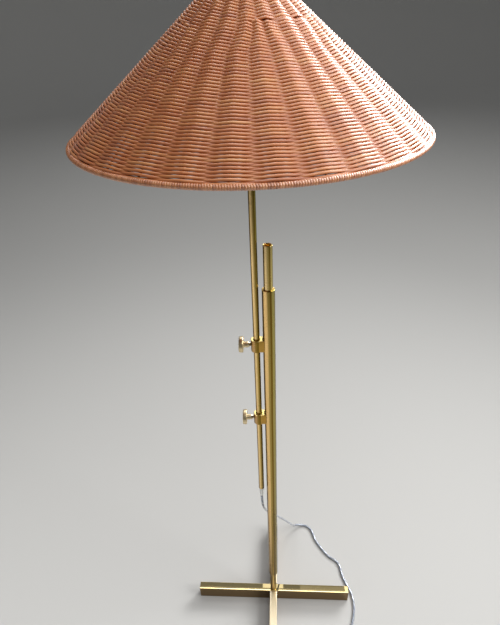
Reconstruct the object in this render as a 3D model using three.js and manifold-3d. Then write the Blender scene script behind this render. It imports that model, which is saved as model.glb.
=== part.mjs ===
// Rattan floor lamp: a brass cross base and post, a stem that slides and turns in two clamps,
// and a woven cone shade. Millimetres, +Z up. The origin is the middle of the base, on the floor.
import * as THREE from "three";
import { mergeVertices } from "three/addons/utils/BufferGeometryUtils.js";
import Module from "manifold-3d";

const wasm = await Module();
wasm.setup();

// Clearances and facets
const fit = 0.3; // between pieces that touch, turn or slide
const overrun = 1; // how far a cutter runs past the face that it cuts
const roundSides = 24;
const smallSides = 16;

// Cross base
const armReach = 191;
const barWidth = 18.4;
const barHeight = 35.5;
const barEdge = 1;
const studDiameter = 8;
const studCover = 6; // brass left under the stud

// Post: a slim spine inside a shorter, wider sleeve
const spineDiameter = 15.6;
const spineWall = 1.2;
const spineTop = 998;
const footPlugLength = 32;
const sleeveDiameter = 22;
const sleeveWall = 1.6;
const sleeveBottom = 108;
const sleeveTop = 920;
const spacerLength = 12;
const spacerRecess = 4;

// Clamps on the post, and the thumbscrews in them
const stemDiameter = 11.5;
const stemOffset = 22; // from the post's axis to the stem's, towards -X
const clampDiameter = 20.4;
const clampHeight = 23.6;
const clampBoreGap = 0.4;
const clampLipChamfer = 1.2;
const clampSaddleWidth = 16;
const upperClampTop = 820;
const lowerClampTop = 647;
const screwDiameter = 5;
const screwPitch = 0.8;
const screwNeckDiameter = 10.6;
const screwNeckLength = 13;
const screwTaperLength = 5.4;
const screwHeadDiameter = 29;
const screwHeadThickness = 7.6;
const screwHeadEdge = 1.4;
const shoeThickness = 1.2;

// Stem and the cord grip in its lower end
const stemWall = 1;
const stemBottom = 428;
const stemTop = 1186;
const gripPlugLength = 9;
const gripFlangeThickness = 3;
const gripLength = 24;
const gripTipDiameter = 7;

// Cord and plug
const cordDiameter = 5.5;
const cordSides = 8;
const cordSteps = { drop: 34, run: 34, tail: 4 };
const coilCentre = [138, -133];
const coilInnerRadius = 22;
const coilPitch = 6;
const coilLayerRise = 6;
const coilTurnsIn = 3.5;
const coilTurnsOut = 3.75;
const coilStepsPerTurn = 24;
const coilSides = 6;
const tieThickness = 1;
const tieWidth = 7;
const plugLength = 20;
const plugWidth = 24;
const plugThickness = 12.4;
const plugNeckLength = 12;
const plugNeckDiameter = 8;
const plugEdge = 2;
const bladeLength = 17;
const bladeHeight = 6.4;
const bladeThickness = 1.5;
const bladeSpacing = 12.7;

// Lamp holder, from the stem's top upwards
const nippleDiameter = 8.9;
const nippleBore = 6.4;
const nippleGrip = 16;
const nippleRise = 10;
const capHubDiameter = 14;
const capHubHeight = 7;
const capDiameter = 34.8;
const capHeight = 24;
const capWall = 1.1;
const shellDiameter = 32;
const shellWall = 0.8;
const shellHeight = 40;
const shellFlangeDiameter = 37;
const shellFlangeThickness = 1.6;
const linerWall = 0.7;
const coreHeight = 15;
const contactWall = 0.8;
const contactHeight = 17;
const tongueThickness = 0.6;
const tongueRise = 2.4;
const tongueWidth = 5;
const switchShaftDiameter = 4;
const switchShaftReach = 9; // beyond the shell, to the end of the knob's bore
const switchKnobDiameter = 15;
const switchKnobLength = 11;
const switchKnobStandoff = 2;

// Shade carrier, its ring nut and the bulb
const carrierRingDiameter = 43;
const carrierRingThickness = 1.8;
const carrierWireDiameter = 3.2;
const carrierArms = 3;
const carrierArmSteps = 9;
const carrierElbowRadius = 33.5;
const ringNutDiameter = 41;
const ringNutHeight = 5;
const bulbDiameter = 60;
const bulbHeight = 80; // of the glass that stands above its cap
const bulbNeckDiameter = 26;
const bulbWall = 1;
const bulbCapDiameter = 25.4;
const bulbCapHeight = 21;
const ledColumnDiameter = 10;
const ledColumnHeight = 44;

// Woven shade
const rimRadius = 242;
const rimDrop = 22; // of the rim's lower edge, below the stem's top
const rimWrapDiameter = 6.8;
const rimHoopDiameter = 3.8;
const topRingRadius = 40.5;
const shadeHeight = 170; // from the rim's lower edge to the middle of the top ring
const topWireDiameter = 4;
const topWrapDiameter = 6.6;
const wrapWall = 0.8;
const stakeDiameter = 2.6;
const weaverDiameter = 2.2;
const lowerStakes = 30;
const upperStakes = 24;
const firstStakeAngle = (4 * Math.PI) / 180; // from +X
const stakeChangeShare = 0.78; // of the slope, from the rim, where stakes are added
const stakeChangeLength = 6;
const wallSeat = 3.4;
const wallTopGap = 1.5; // room beside the top ring for the wires that reach it
const weaveSides = 120;
const rimSides = 96;
const ringSides = 60;
const wireSides = 8;
const wrapSteps = 5;

// Materials
const brass = { color: 0xb08d4a, roughness: 0.32, metalness: 1 };
const brassPale = { color: 0xcdb88a, roughness: 0.35, metalness: 1 };
const steel = { color: 0xa8a8a6, roughness: 0.4, metalness: 1 };
const rattan = { color: 0xa8623a, roughness: 0.6, metalness: 0 };
const cane = { color: 0xb36f44, roughness: 0.5, metalness: 0 };
const clearLead = { color: 0xb9bdc6, roughness: 0.25, metalness: 0 };
const whitePlastic = { color: 0xf0f0ec, roughness: 0.4, metalness: 0 };
const blackPlastic = { color: 0x1b1b1c, roughness: 0.45, metalness: 0 };
const fibre = { color: 0x8b7a62, roughness: 0.9, metalness: 0 };
const frosted = { color: 0xf5f3ec, roughness: 0.35, metalness: 0 };

const lamp = new THREE.Group();
const stemAxis = new THREE.Vector3(-stemOffset, 0, 0);

function add(name, geometry, finish, at = new THREE.Vector3()) {
  const mesh = new THREE.Mesh(geometry, new THREE.MeshStandardMaterial(finish));
  mesh.name = name;
  mesh.position.copy(at);
  lamp.add(mesh);
  return mesh;
}

// Solids from geometries, and back
function solidOf(geometry) {
  const bare = geometry.clone();
  bare.deleteAttribute("normal");
  bare.deleteAttribute("uv");
  const merged = mergeVertices(bare);
  return new wasm.Manifold(
    new wasm.Mesh({
      numProp: 3,
      vertProperties: merged.attributes.position.array,
      triVerts: new Uint32Array(merged.index.array),
    }),
  );
}

function geometryOf(solid) {
  const mesh = solid.getMesh();
  const geometry = new THREE.BufferGeometry();
  geometry.setAttribute("position", new THREE.BufferAttribute(mesh.vertProperties, 3));
  geometry.setIndex(new THREE.BufferAttribute(mesh.triVerts, 1));
  geometry.computeVertexNormals();
  return geometry;
}

const cut = (body, ...tools) =>
  geometryOf(tools.reduce((left, tool) => left.subtract(solidOf(tool)), solidOf(body)));
const join = (...pieces) =>
  geometryOf(pieces.map(solidOf).reduce((whole, piece) => whole.add(piece)));

// A round piece on the Z axis, from [radius, height] points
function turned(points, sides = roundSides) {
  const area = points.reduce((sum, [r, z], i) => {
    const [rNext, zNext] = points[(i + 1) % points.length];
    return sum + r * zNext - rNext * z;
  }, 0);
  const ordered = area > 0 ? points : [...points].reverse();
  const onAxis = points.some(([r]) => r === 0);
  const start = onAxis ? startOnAxis(ordered) : 0;
  const profile = ordered.map((_, i) => ordered[(start + i) % ordered.length]);
  if (!onAxis) profile.push(profile[0]);
  const shape = profile.map(([r, z]) => new THREE.Vector2(r, z));
  return new THREE.LatheGeometry(shape, sides).rotateX(Math.PI / 2);
}

// The first point of an ordered outline whose forerunner is also on the axis
function startOnAxis(points) {
  const before = (i) => points[(i + points.length - 1) % points.length];
  return points.findIndex(([r], i) => r === 0 && before(i)[0] === 0);
}

const rod = (radius, bottom, top, sides) =>
  turned([[0, bottom], [radius, bottom], [radius, top], [0, top]], sides);
const tube = (outer, inner, bottom, top, sides) =>
  turned([[inner, bottom], [outer, bottom], [outer, top], [inner, top]], sides);

function box(sizeX, sizeY, bottom, top) {
  return new THREE.BoxGeometry(sizeX, sizeY, top - bottom).translate(0, 0, (bottom + top) / 2);
}

// Turns a piece made on the Z axis so that its axis points along -X or +X
const towardsMinusX = (geometry) => geometry.rotateY(-Math.PI / 2);
const towardsPlusX = (geometry) => geometry.rotateY(Math.PI / 2);

// A round bar of a few flats that follows a curve
function bent(curve, radius, sides, steps) {
  const section = new THREE.Shape();
  for (let i = 0; i < sides; i++) {
    const angle = (2 * Math.PI * (i + 1 / 2)) / sides;
    section[i ? "lineTo" : "moveTo"](radius * Math.cos(angle), radius * Math.sin(angle));
  }
  section.closePath();
  return new THREE.ExtrudeGeometry(section, { steps, extrudePath: curve, bevelEnabled: false });
}

// Cross base: two bars on edge, halved into each other, and the stud that holds the post
const halfLap = barHeight / 2;
const studHole = studDiameter / 2 + fit;
const studTop = barHeight + footPlugLength - spacerRecess;

function bar() {
  const half = { y: barWidth / 2, z: barHeight / 2 };
  const section = new THREE.Shape();
  section.moveTo(-half.y + barEdge, -half.z);
  section.lineTo(half.y - barEdge, -half.z);
  section.lineTo(half.y, -half.z + barEdge);
  section.lineTo(half.y, half.z - barEdge);
  section.lineTo(half.y - barEdge, half.z);
  section.lineTo(-half.y + barEdge, half.z);
  section.lineTo(-half.y, half.z - barEdge);
  section.lineTo(-half.y, -half.z + barEdge);
  section.closePath();
  const depth = 2 * (armReach - barEdge);
  const geometry = new THREE.ExtrudeGeometry(section, {
    depth,
    bevelThickness: barEdge,
    bevelSize: barEdge,
    bevelOffset: -barEdge,
    bevelSegments: 1,
  });
  const alongX = new THREE.Matrix4().makeBasis(
    new THREE.Vector3(0, 1, 0),
    new THREE.Vector3(0, 0, 1),
    new THREE.Vector3(1, 0, 0),
  );
  return geometry.translate(0, 0, -depth / 2).applyMatrix4(alongX).translate(0, 0, halfLap);
}

const lapWidth = barWidth + 2 * fit;
const longBar = cut(
  bar(),
  box(lapWidth, barWidth + 2 * overrun, -overrun, halfLap),
  rod(studHole, halfLap - overrun, barHeight + overrun, smallSides),
);
const crossBar = cut(
  bar().rotateZ(Math.PI / 2),
  box(barWidth + 2 * overrun, lapWidth, halfLap, barHeight + overrun),
  rod(studHole, studCover, barHeight, smallSides),
);
add("base_bar_long", longBar, brass);
add("base_bar_cross", crossBar, brass);
add("base_stud", rod(studDiameter / 2, studCover + fit, studTop, smallSides), steel);

// Post
const spineBore = spineDiameter / 2 - spineWall;
const sleeveBore = sleeveDiameter / 2 - sleeveWall;
const footPlugTop = barHeight + footPlugLength;
add("spine_tube", tube(spineDiameter / 2, spineBore, barHeight, spineTop), brass);
add("spine_foot_plug", tube(spineBore - fit, studHole, barHeight, footPlugTop), brass);
add("sleeve_tube", tube(sleeveDiameter / 2, sleeveBore, sleeveBottom, sleeveTop), brass);

function spacer(bottom) {
  return tube(sleeveBore - fit, spineDiameter / 2 + fit, bottom, bottom + spacerLength);
}
add("sleeve_spacer_lower", spacer(sleeveBottom + spacerRecess), brass);
add("sleeve_spacer_upper", spacer(sleeveTop - spacerRecess - spacerLength), brass);

// Clamps: a collar round the stem and a saddle against the sleeve, in one piece
const clampRadius = clampDiameter / 2;
const clampBore = stemDiameter / 2 + clampBoreGap;
const screwHole = screwDiameter / 2 + fit;

function clamp() {
  const lip = clampLipChamfer;
  const collar = turned([
    [0, 0],
    [clampRadius - lip / 2, 0],
    [clampRadius, lip / 2],
    [clampRadius, clampHeight - lip / 2],
    [clampRadius - lip / 2, clampHeight],
    [0, clampHeight],
  ]);
  const saddle = box(stemOffset, clampSaddleWidth, 0, clampHeight).translate(stemOffset / 2, 0, 0);
  const stemBore = turned([
    [0, -overrun],
    [clampBore + lip + overrun, -overrun],
    [clampBore, lip],
    [clampBore, clampHeight - lip],
    [clampBore + lip + overrun, clampHeight + overrun],
    [0, clampHeight + overrun],
  ]);
  const postSeat = rod(sleeveDiameter / 2 + fit, -overrun, clampHeight + overrun);
  const threadHole = towardsMinusX(rod(screwHole, 0, clampRadius + overrun, smallSides));
  return cut(
    join(collar, saddle),
    stemBore,
    postSeat.translate(stemOffset, 0, 0),
    threadHole.translate(0, 0, clampHeight / 2),
  );
}

// Thumbscrew on the Z axis, its tip down at the shoe
const shoeStart = stemDiameter / 2 + fit;
const screwTip = shoeStart + shoeThickness;
const neckStart = clampRadius + fit;
const headStart = neckStart + screwNeckLength;
const headEnd = headStart + screwHeadThickness;

function thumbscrew() {
  const head = screwHeadDiameter / 2;
  const neck = screwNeckDiameter / 2;
  return turned([
    [0, screwTip],
    [screwDiameter / 2, screwTip],
    [screwDiameter / 2, neckStart],
    [neck, neckStart + screwTaperLength],
    [neck, headStart],
    [head - screwHeadEdge, headStart],
    [head, headStart + screwHeadEdge],
    [head, headEnd - screwHeadEdge],
    [head - screwHeadEdge, headEnd],
    [0, headEnd],
  ]);
}

for (const [place, top] of [["upper", upperClampTop], ["lower", lowerClampTop]]) {
  const bottom = stemAxis.clone().setZ(top - clampHeight);
  const screwAt = stemAxis.clone().setZ(top - clampHeight / 2);
  const shoe = rod(screwDiameter / 2, shoeStart, screwTip, smallSides);
  add(`${place}_clamp`, clamp(), brass, bottom);
  add(`${place}_clamp_shoe`, towardsMinusX(shoe), brassPale, screwAt);
  add(`${place}_thumbscrew`, towardsMinusX(thumbscrew()), brassPale, screwAt);
}

// Stem, the cord grip in its lower end and the lead inside it
const stemBore = stemDiameter / 2 - stemWall;
const gripTip = stemBottom - gripLength;
const gripPlugTop = stemBottom + gripPlugLength;
const nippleBottom = stemTop - nippleGrip;
const nippleTop = stemTop + nippleRise;
add("stem_tube", tube(stemDiameter / 2, stemBore, stemBottom, stemTop), brass, stemAxis);

const gripFlangeBottom = stemBottom - fit - gripFlangeThickness;
const grip = turned([
  [0, gripTip],
  [gripTipDiameter / 2, gripTip],
  [stemBore, gripFlangeBottom],
  [stemDiameter / 2, gripFlangeBottom],
  [stemDiameter / 2, stemBottom - fit],
  [stemBore - fit, stemBottom - fit],
  [stemBore - fit, gripPlugTop],
  [0, gripPlugTop],
]);
add("cord_grip", grip, whitePlastic, stemAxis);

const capFloor = stemTop + fit;
const leadTop = nippleTop + fit;
const stemLead = rod(cordDiameter / 2, gripPlugTop + fit, leadTop, cordSides);
add("stem_lead", stemLead, clearLead, stemAxis);

// Free cord: hanging from the grip to the floor, along the floor, coiled, and on to its plug
const cordRadius = cordDiameter / 2;
const onFloor = 2.8;
const coilFloor = cordRadius + tieThickness + fit;
const dropRoute = [
  [-22, 0, 403.7],
  [-21.8, 0.6, 388],
  [-20.1, 8, 354],
  [-14.8, 27, 314],
  [-5.6, 51.5, 269.5],
  [5, 77.5, 224.5],
  [17.5, 105, 178],
  [32, 134, 124],
  [45.5, 160, 74],
  [57, 181, 37],
  [65, 194, 17],
  [71, 202.4, 6.2],
  [77.5, 206.4, onFloor],
  [84, 206.4, onFloor],
];
const runRoute = [
  [84.3, 206.4, onFloor],
  [90, 206.4, onFloor],
  [98, 200.5, onFloor],
  [104, 189.5, onFloor],
  [110, 176, onFloor],
  [117.5, 160, onFloor],
  [126, 144.5, onFloor],
  [134, 132, onFloor],
  [142, 121, onFloor],
  [151, 110.5, onFloor],
  [162, 102.5, onFloor],
  [172, 95, onFloor],
  [178.5, 84.5, onFloor],
  [181, 71.5, onFloor],
  [183.5, 56, onFloor],
  [189, 40, onFloor],
  [196, 24.5, onFloor],
  [202, 8, onFloor],
  [205, -10, onFloor],
  [205, -28, onFloor],
  [202, -46, onFloor],
  [197, -64, onFloor],
  [191.5, -81, onFloor],
  [186.5, -98, 2.9],
  [182.5, -113, 3.5],
  [181, -120, 4],
  [181, -127.2, 4.05],
];
const tailRoute = [
  [132.2, -177.5, 10.05],
  [128, -177.5, 9.8],
  [119, -177.8, 8.2],
  [110, -178.4, 6.7],
  [103, -178.6, 6.2],
  [96, -178.6, 6.2],
];

function laid(route, steps) {
  const curve = new THREE.CatmullRomCurve3(route.map((p) => new THREE.Vector3(...p)));
  return bent(curve, cordRadius, cordSides, steps);
}
add("cord_drop", laid(dropRoute, cordSteps.drop), clearLead);
add("cord_run", laid(runRoute, cordSteps.run), clearLead);
add("cord_tail", laid(tailRoute, cordSteps.tail), clearLead);

// Coil: the lead spirals in on the floor, climbs a layer as it turns back, and spirals out again.
// Its ends run straight for one diameter, towards -Y as it comes in and towards -X as it leaves.
function coilPoint(turn) {
  const radius = coilInnerRadius + coilPitch * Math.abs(turn);
  const climb = THREE.MathUtils.smoothstep(turn, -1 / 4, 1 / 4);
  const angle = -2 * Math.PI * (turn + coilTurnsIn);
  return new THREE.Vector3(
    coilCentre[0] + radius * Math.cos(angle),
    coilCentre[1] + radius * Math.sin(angle),
    coilFloor + coilLayerRise * climb,
  );
}

function coil() {
  const turnSteps = (coilTurnsIn + coilTurnsOut) * coilStepsPerTurn;
  const count = turnSteps + 2;
  const points = [];
  const positions = [];
  const index = [];
  for (let i = 0; i <= turnSteps; i++) {
    points.push(coilPoint(i / coilStepsPerTurn - coilTurnsIn));
  }
  points.unshift(points[0].clone().add(new THREE.Vector3(0, cordDiameter, 0)));
  points.push(points.at(-1).clone().add(new THREE.Vector3(-cordDiameter, 0, 0)));
  points.forEach((point, i) => {
    const ahead = points[Math.min(i + 1, count)].clone().sub(points[Math.max(i - 1, 0)]).normalize();
    const out = new THREE.Vector3(point.x - coilCentre[0], point.y - coilCentre[1], 0);
    out.addScaledVector(ahead, -out.dot(ahead)).normalize();
    const over = new THREE.Vector3().crossVectors(ahead, out);
    for (let k = 0; k < coilSides; k++) {
      const angle = (2 * Math.PI * k) / coilSides;
      const vertex = point.clone();
      vertex.addScaledVector(out, cordRadius * Math.cos(angle));
      vertex.addScaledVector(over, cordRadius * Math.sin(angle));
      positions.push(vertex.x, vertex.y, vertex.z);
    }
  });
  for (let i = 0; i < count; i++) {
    for (let k = 0; k < coilSides; k++) {
      const next = (k + 1) % coilSides;
      const [a, b] = [i * coilSides + k, i * coilSides + next];
      index.push(a, b, b + coilSides, a, b + coilSides, a + coilSides);
    }
  }
  for (let k = 1; k < coilSides - 1; k++) {
    const last = count * coilSides;
    index.push(0, k + 1, k, last, last + k, last + k + 1);
  }
  console.log("coil gap to itself", leastGap(points).toFixed(2), "mm");
  const geometry = new THREE.BufferGeometry();
  geometry.setAttribute("position", new THREE.Float32BufferAttribute(positions, 3));
  geometry.setIndex(index);
  geometry.computeVertexNormals();
  return geometry;
}

// The least clear space between stretches of one cord that lie more than half a turn apart
function leastGap(points) {
  const apart = coilStepsPerTurn / 2;
  let least = Infinity;
  for (let i = 0; i < points.length; i++) {
    for (let j = i + apart; j < points.length; j++) {
      least = Math.min(least, points[i].distanceTo(points[j]));
    }
  }
  return least - cordDiameter;
}
add("cord_coil", coil(), clearLead);

// Tie: a strap round all the turns, away from where the lead comes in and leaves
function tie() {
  const outerTurn = coilInnerRadius + coilPitch * coilTurnsOut;
  const inside = {
    low: coilInnerRadius - cordRadius - 2 * fit,
    high: outerTurn + cordRadius + 2 * fit,
    bottom: coilFloor - cordRadius - fit,
    top: coilFloor + coilLayerRise + cordRadius + fit,
  };
  const middle = (inside.low + inside.high) / 2;
  const span = inside.high - inside.low;
  const strap = box(span + 2 * tieThickness, tieWidth, inside.bottom - tieThickness, inside.top + tieThickness);
  const gap = box(span, tieWidth + 2 * overrun, inside.bottom, inside.top);
  return cut(strap, gap).translate(middle, 0, 0).rotateZ((3 / 4) * Math.PI);
}
add("cord_tie", tie(), blackPlastic, new THREE.Vector3(...coilCentre, 0));

// Plug, lying flat at the end of the lead and pointing along -X
const plugAt = new THREE.Vector3(...tailRoute.at(-1));
plugAt.x -= fit;
function plugBody() {
  const half = { y: plugWidth / 2, z: plugThickness / 2 };
  const section = new THREE.Shape();
  section.moveTo(-half.z + plugEdge, -half.y);
  section.lineTo(half.z - plugEdge, -half.y);
  section.lineTo(half.z, -half.y + plugEdge);
  section.lineTo(half.z, half.y - plugEdge);
  section.lineTo(half.z - plugEdge, half.y);
  section.lineTo(-half.z + plugEdge, half.y);
  section.lineTo(-half.z, half.y - plugEdge);
  section.lineTo(-half.z, -half.y + plugEdge);
  section.closePath();
  const body = new THREE.ExtrudeGeometry(section, {
    depth: plugLength - 2 * plugEdge,
    bevelThickness: plugEdge,
    bevelSize: plugEdge,
    bevelOffset: -plugEdge,
    bevelSegments: 1,
  }).translate(0, 0, plugNeckLength + plugEdge);
  const neck = turned(
    [
      [0, 0],
      [cordRadius + fit, 0],
      [plugNeckDiameter / 2, plugNeckLength],
      [plugNeckDiameter / 2, plugNeckLength + plugEdge + overrun],
      [0, plugNeckLength + plugEdge + overrun],
    ],
    smallSides,
  );
  return towardsMinusX(join(body, neck));
}
add("plug_body", plugBody(), clearLead, plugAt);

for (const [side, sign] of [["left", -1], ["right", 1]]) {
  const face = plugNeckLength + plugLength + fit;
  const blade = box(bladeHeight, bladeThickness, face, face + bladeLength);
  const at = plugAt.clone();
  at.y += (sign * bladeSpacing) / 2;
  add(`plug_blade_${side}`, towardsMinusX(blade), brassPale, at);
}

// Lamp holder
const nipple = tube(nippleDiameter / 2, nippleBore / 2, nippleBottom, nippleTop, smallSides);
add("stem_nipple", nipple, brass, stemAxis);

const capTop = capFloor + capHeight;
const hubTop = capFloor + capHubHeight;
const capBore = nippleDiameter / 2 + fit;
const capRadius = capDiameter / 2;
const capSkirtBottom = capTop - capHeight / 3;
const holderCap = turned([
  [capBore, capFloor],
  [capHubDiameter / 2, capFloor],
  [capHubDiameter / 2, hubTop],
  [capRadius - capWall, capSkirtBottom - 2 * capWall],
  [capRadius, capSkirtBottom],
  [capRadius, capTop],
  [capRadius - capWall, capTop],
  [capRadius - capWall, capSkirtBottom],
  [capHubDiameter / 2, hubTop + capWall],
  [capBore, hubTop + capWall],
]);
add("holder_cap", holderCap, brass, stemAxis);

const shellRadius = shellDiameter / 2;
const shellBore = shellRadius - shellWall;
const shellBottom = capSkirtBottom + fit;
const shellTop = shellBottom + shellHeight;
const ringNutTop = shellTop - fit;
const carrierRingTop = ringNutTop - ringNutHeight - fit;
const carrierRingBottom = carrierRingTop - carrierRingThickness;
const flangeTop = carrierRingBottom - fit;
const flangeBottom = flangeTop - shellFlangeThickness;
const coreBottom = shellBottom + contactWall;
const coreTop = coreBottom + coreHeight;
const switchHeight = (capTop + coreTop) / 2 + fit;
const switchHole = switchShaftDiameter / 2 + fit;
const shaftCutter = () =>
  towardsPlusX(rod(switchHole, 0, shellRadius + overrun, smallSides)).translate(0, 0, switchHeight);

const shell = turned([
  [shellBore, shellBottom],
  [shellRadius, shellBottom],
  [shellRadius, flangeBottom],
  [shellFlangeDiameter / 2, flangeBottom],
  [shellFlangeDiameter / 2, flangeTop],
  [shellRadius, flangeTop],
  [shellRadius, shellTop],
  [shellBore, shellTop],
]);
add("holder_shell", cut(shell, shaftCutter()), brass, stemAxis);

const linerRadius = shellBore - fit;
const coreRadius = linerRadius - linerWall - fit;
const liner = tube(linerRadius, linerRadius - linerWall, shellBottom, shellTop - fit, smallSides);
add("holder_liner", cut(liner, shaftCutter()), fibre, stemAxis);
const core = rod(coreRadius, coreBottom, coreTop, smallSides);
add("holder_core", cut(core, shaftCutter()), blackPlastic, stemAxis);

const contactBottom = coreTop + fit;
const contactBore = coreRadius - contactWall;
const threadShell = tube(coreRadius, contactBore, contactBottom, contactBottom + contactHeight, smallSides);
add("holder_thread_contact", threadShell, brassPale, stemAxis);

// Centre contact: a bent spring tongue under the bulb's tip
function tongue() {
  const reach = contactBore / 2;
  const strip = new THREE.Shape();
  strip.moveTo(-reach, 0);
  strip.lineTo(0, 0);
  strip.lineTo(reach, tongueRise);
  strip.lineTo(reach, tongueRise + tongueThickness);
  strip.lineTo(-tongueThickness / 4, tongueThickness);
  strip.lineTo(-reach, tongueThickness);
  strip.closePath();
  const geometry = new THREE.ExtrudeGeometry(strip, { depth: tongueWidth, bevelEnabled: false });
  return geometry.rotateX(Math.PI / 2).translate(0, tongueWidth / 2, contactBottom);
}
add("holder_centre_contact", tongue(), brassPale, stemAxis);

// Turn switch through the side of the holder
const switchAt = stemAxis.clone().setZ(switchHeight);
const knobStart = capRadius + switchKnobStandoff;
const shaftEnd = shellRadius + switchShaftReach;
const knobBore = switchShaftDiameter / 2 + fit;
const switchShaft = rod(switchShaftDiameter / 2, fit, shaftEnd, smallSides);
add("switch_shaft", towardsPlusX(switchShaft), brassPale, switchAt);

function switchKnob() {
  const radius = switchKnobDiameter / 2;
  const end = knobStart + switchKnobLength;
  const barrel = turned(
    [
      [0, knobStart],
      [radius / 2, knobStart],
      [radius, knobStart + switchKnobLength / 4],
      [radius, end - switchShaftDiameter / 4],
      [radius - switchShaftDiameter / 4, end],
      [0, end],
    ],
    smallSides,
  );
  const side = box(switchKnobDiameter, switchKnobDiameter, knobStart + switchKnobLength / 4, end + overrun);
  const flat = (sign) => side.clone().translate(0, (sign * (switchKnobDiameter + radius)) / 2, 0);
  const bore = rod(knobBore, knobStart - overrun, shaftEnd + fit, smallSides);
  return towardsPlusX(cut(barrel, flat(1), flat(-1), bore));
}
add("switch_knob", switchKnob(), brassPale, switchAt);

// Shade carrier: a ring on the holder's flange, three bent wires and the ring at the shade's top
const rimBottom = stemTop - rimDrop;
const topRingHeight = rimBottom + shadeHeight;
const carrierBore = shellRadius + fit;
const topWireRadius = topWireDiameter / 2;
const wireRadius = carrierWireDiameter / 2;
const bulbCapBottom = contactBottom + tongueRise + tongueThickness + fit;
const glassBottom = bulbCapBottom + bulbCapHeight;

function carrier() {
  const ring = tube(carrierRingDiameter / 2, carrierBore, carrierRingBottom, carrierRingTop);
  const hoop = new THREE.TorusGeometry(topRingRadius, topWireRadius, wireSides, ringSides);
  const level = carrierRingBottom - wireRadius + carrierRingThickness / 2;
  const arm = new THREE.CatmullRomCurve3([
    new THREE.Vector3(carrierRingDiameter / 2 - wireRadius, 0, level),
    new THREE.Vector3(carrierElbowRadius - 2 * carrierWireDiameter, 0, level),
    new THREE.Vector3(carrierElbowRadius - wireRadius / 2, 0, level + wireRadius),
    new THREE.Vector3(carrierElbowRadius + wireRadius, 0, level + 2 * carrierWireDiameter),
    new THREE.Vector3(topRingRadius, 0, topRingHeight - 4 * topWireDiameter),
    new THREE.Vector3(topRingRadius, 0, topRingHeight),
  ]);
  const arms = [];
  for (let i = 0; i < carrierArms; i++) {
    const turn = (2 * Math.PI * (i + 1 / 2)) / carrierArms;
    arms.push(bent(arm, wireRadius, wireSides, carrierArmSteps).rotateZ(turn));
  }
  return join(ring, hoop.translate(0, 0, topRingHeight), ...arms);
}
add("shade_carrier", carrier(), brass, stemAxis);

const ringNut = tube(ringNutDiameter / 2, carrierBore, carrierRingTop + fit, ringNutTop);
add("shade_ring_nut", ringNut, brass, stemAxis);

// Bulb
const bulbCapRadius = bulbCapDiameter / 2;
const bulbCap = turned(
  [
    [0, bulbCapBottom],
    [bulbCapRadius / 3, bulbCapBottom],
    [bulbCapRadius / 2, bulbCapBottom + bulbCapHeight / 8],
    [bulbCapRadius, bulbCapBottom + bulbCapHeight / 4],
    [bulbCapRadius, glassBottom - fit],
    [0, glassBottom - fit],
  ],
  smallSides,
);
add("bulb_cap", bulbCap, steel, stemAxis);

// The glass is a shell, open at its neck: a straight neck, a flare and a round crown
function bulbOutline(inset) {
  const radius = bulbDiameter / 2;
  const neck = bulbNeckDiameter / 2;
  const crownCentre = glassBottom + bulbHeight - radius;
  const points = [[neck - inset, glassBottom]];
  for (let i = 0; i <= 5; i++) {
    const share = i / 5;
    const swell = neck + (radius - neck) * THREE.MathUtils.smoothstep(share, 0, 1);
    const rise = (1 + 5 * share) / 6;
    points.push([swell - inset, glassBottom + (crownCentre - glassBottom) * rise]);
  }
  for (let i = 1; i <= 5; i++) {
    const angle = (Math.PI / 2) * (i / 5);
    points.push([(radius - inset) * Math.cos(angle), crownCentre + (radius - inset) * Math.sin(angle)]);
  }
  points.at(-1)[0] = 0;
  return points;
}
const glass = [...bulbOutline(0), ...bulbOutline(bulbWall).reverse()];
add("bulb_glass", turned(glass, smallSides), frosted, stemAxis);
const ledColumn = rod(ledColumnDiameter / 2, glassBottom, glassBottom + ledColumnHeight, cordSides);
add("bulb_led_column", ledColumn, whitePlastic, stemAxis);

// Woven shade. Its wall is a cone between the middles of the rim hoop and the top ring.
// Weavers pass over and under the stakes, so the wall swells at each stake and thins between them.
const rimCentre = new THREE.Vector2(rimRadius - rimWrapDiameter / 2, rimBottom + rimWrapDiameter / 2);
const topCentre = new THREE.Vector2(topRingRadius, topRingHeight);
const slope = topCentre.clone().sub(rimCentre);
const slopeLength = slope.length();
const upSlope = slope.clone().normalize();
const outward = new THREE.Vector2(upSlope.y, -upSlope.x);
const crest = stakeDiameter / 2 + weaverDiameter;
const valley = weaverDiameter / 2;

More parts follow.
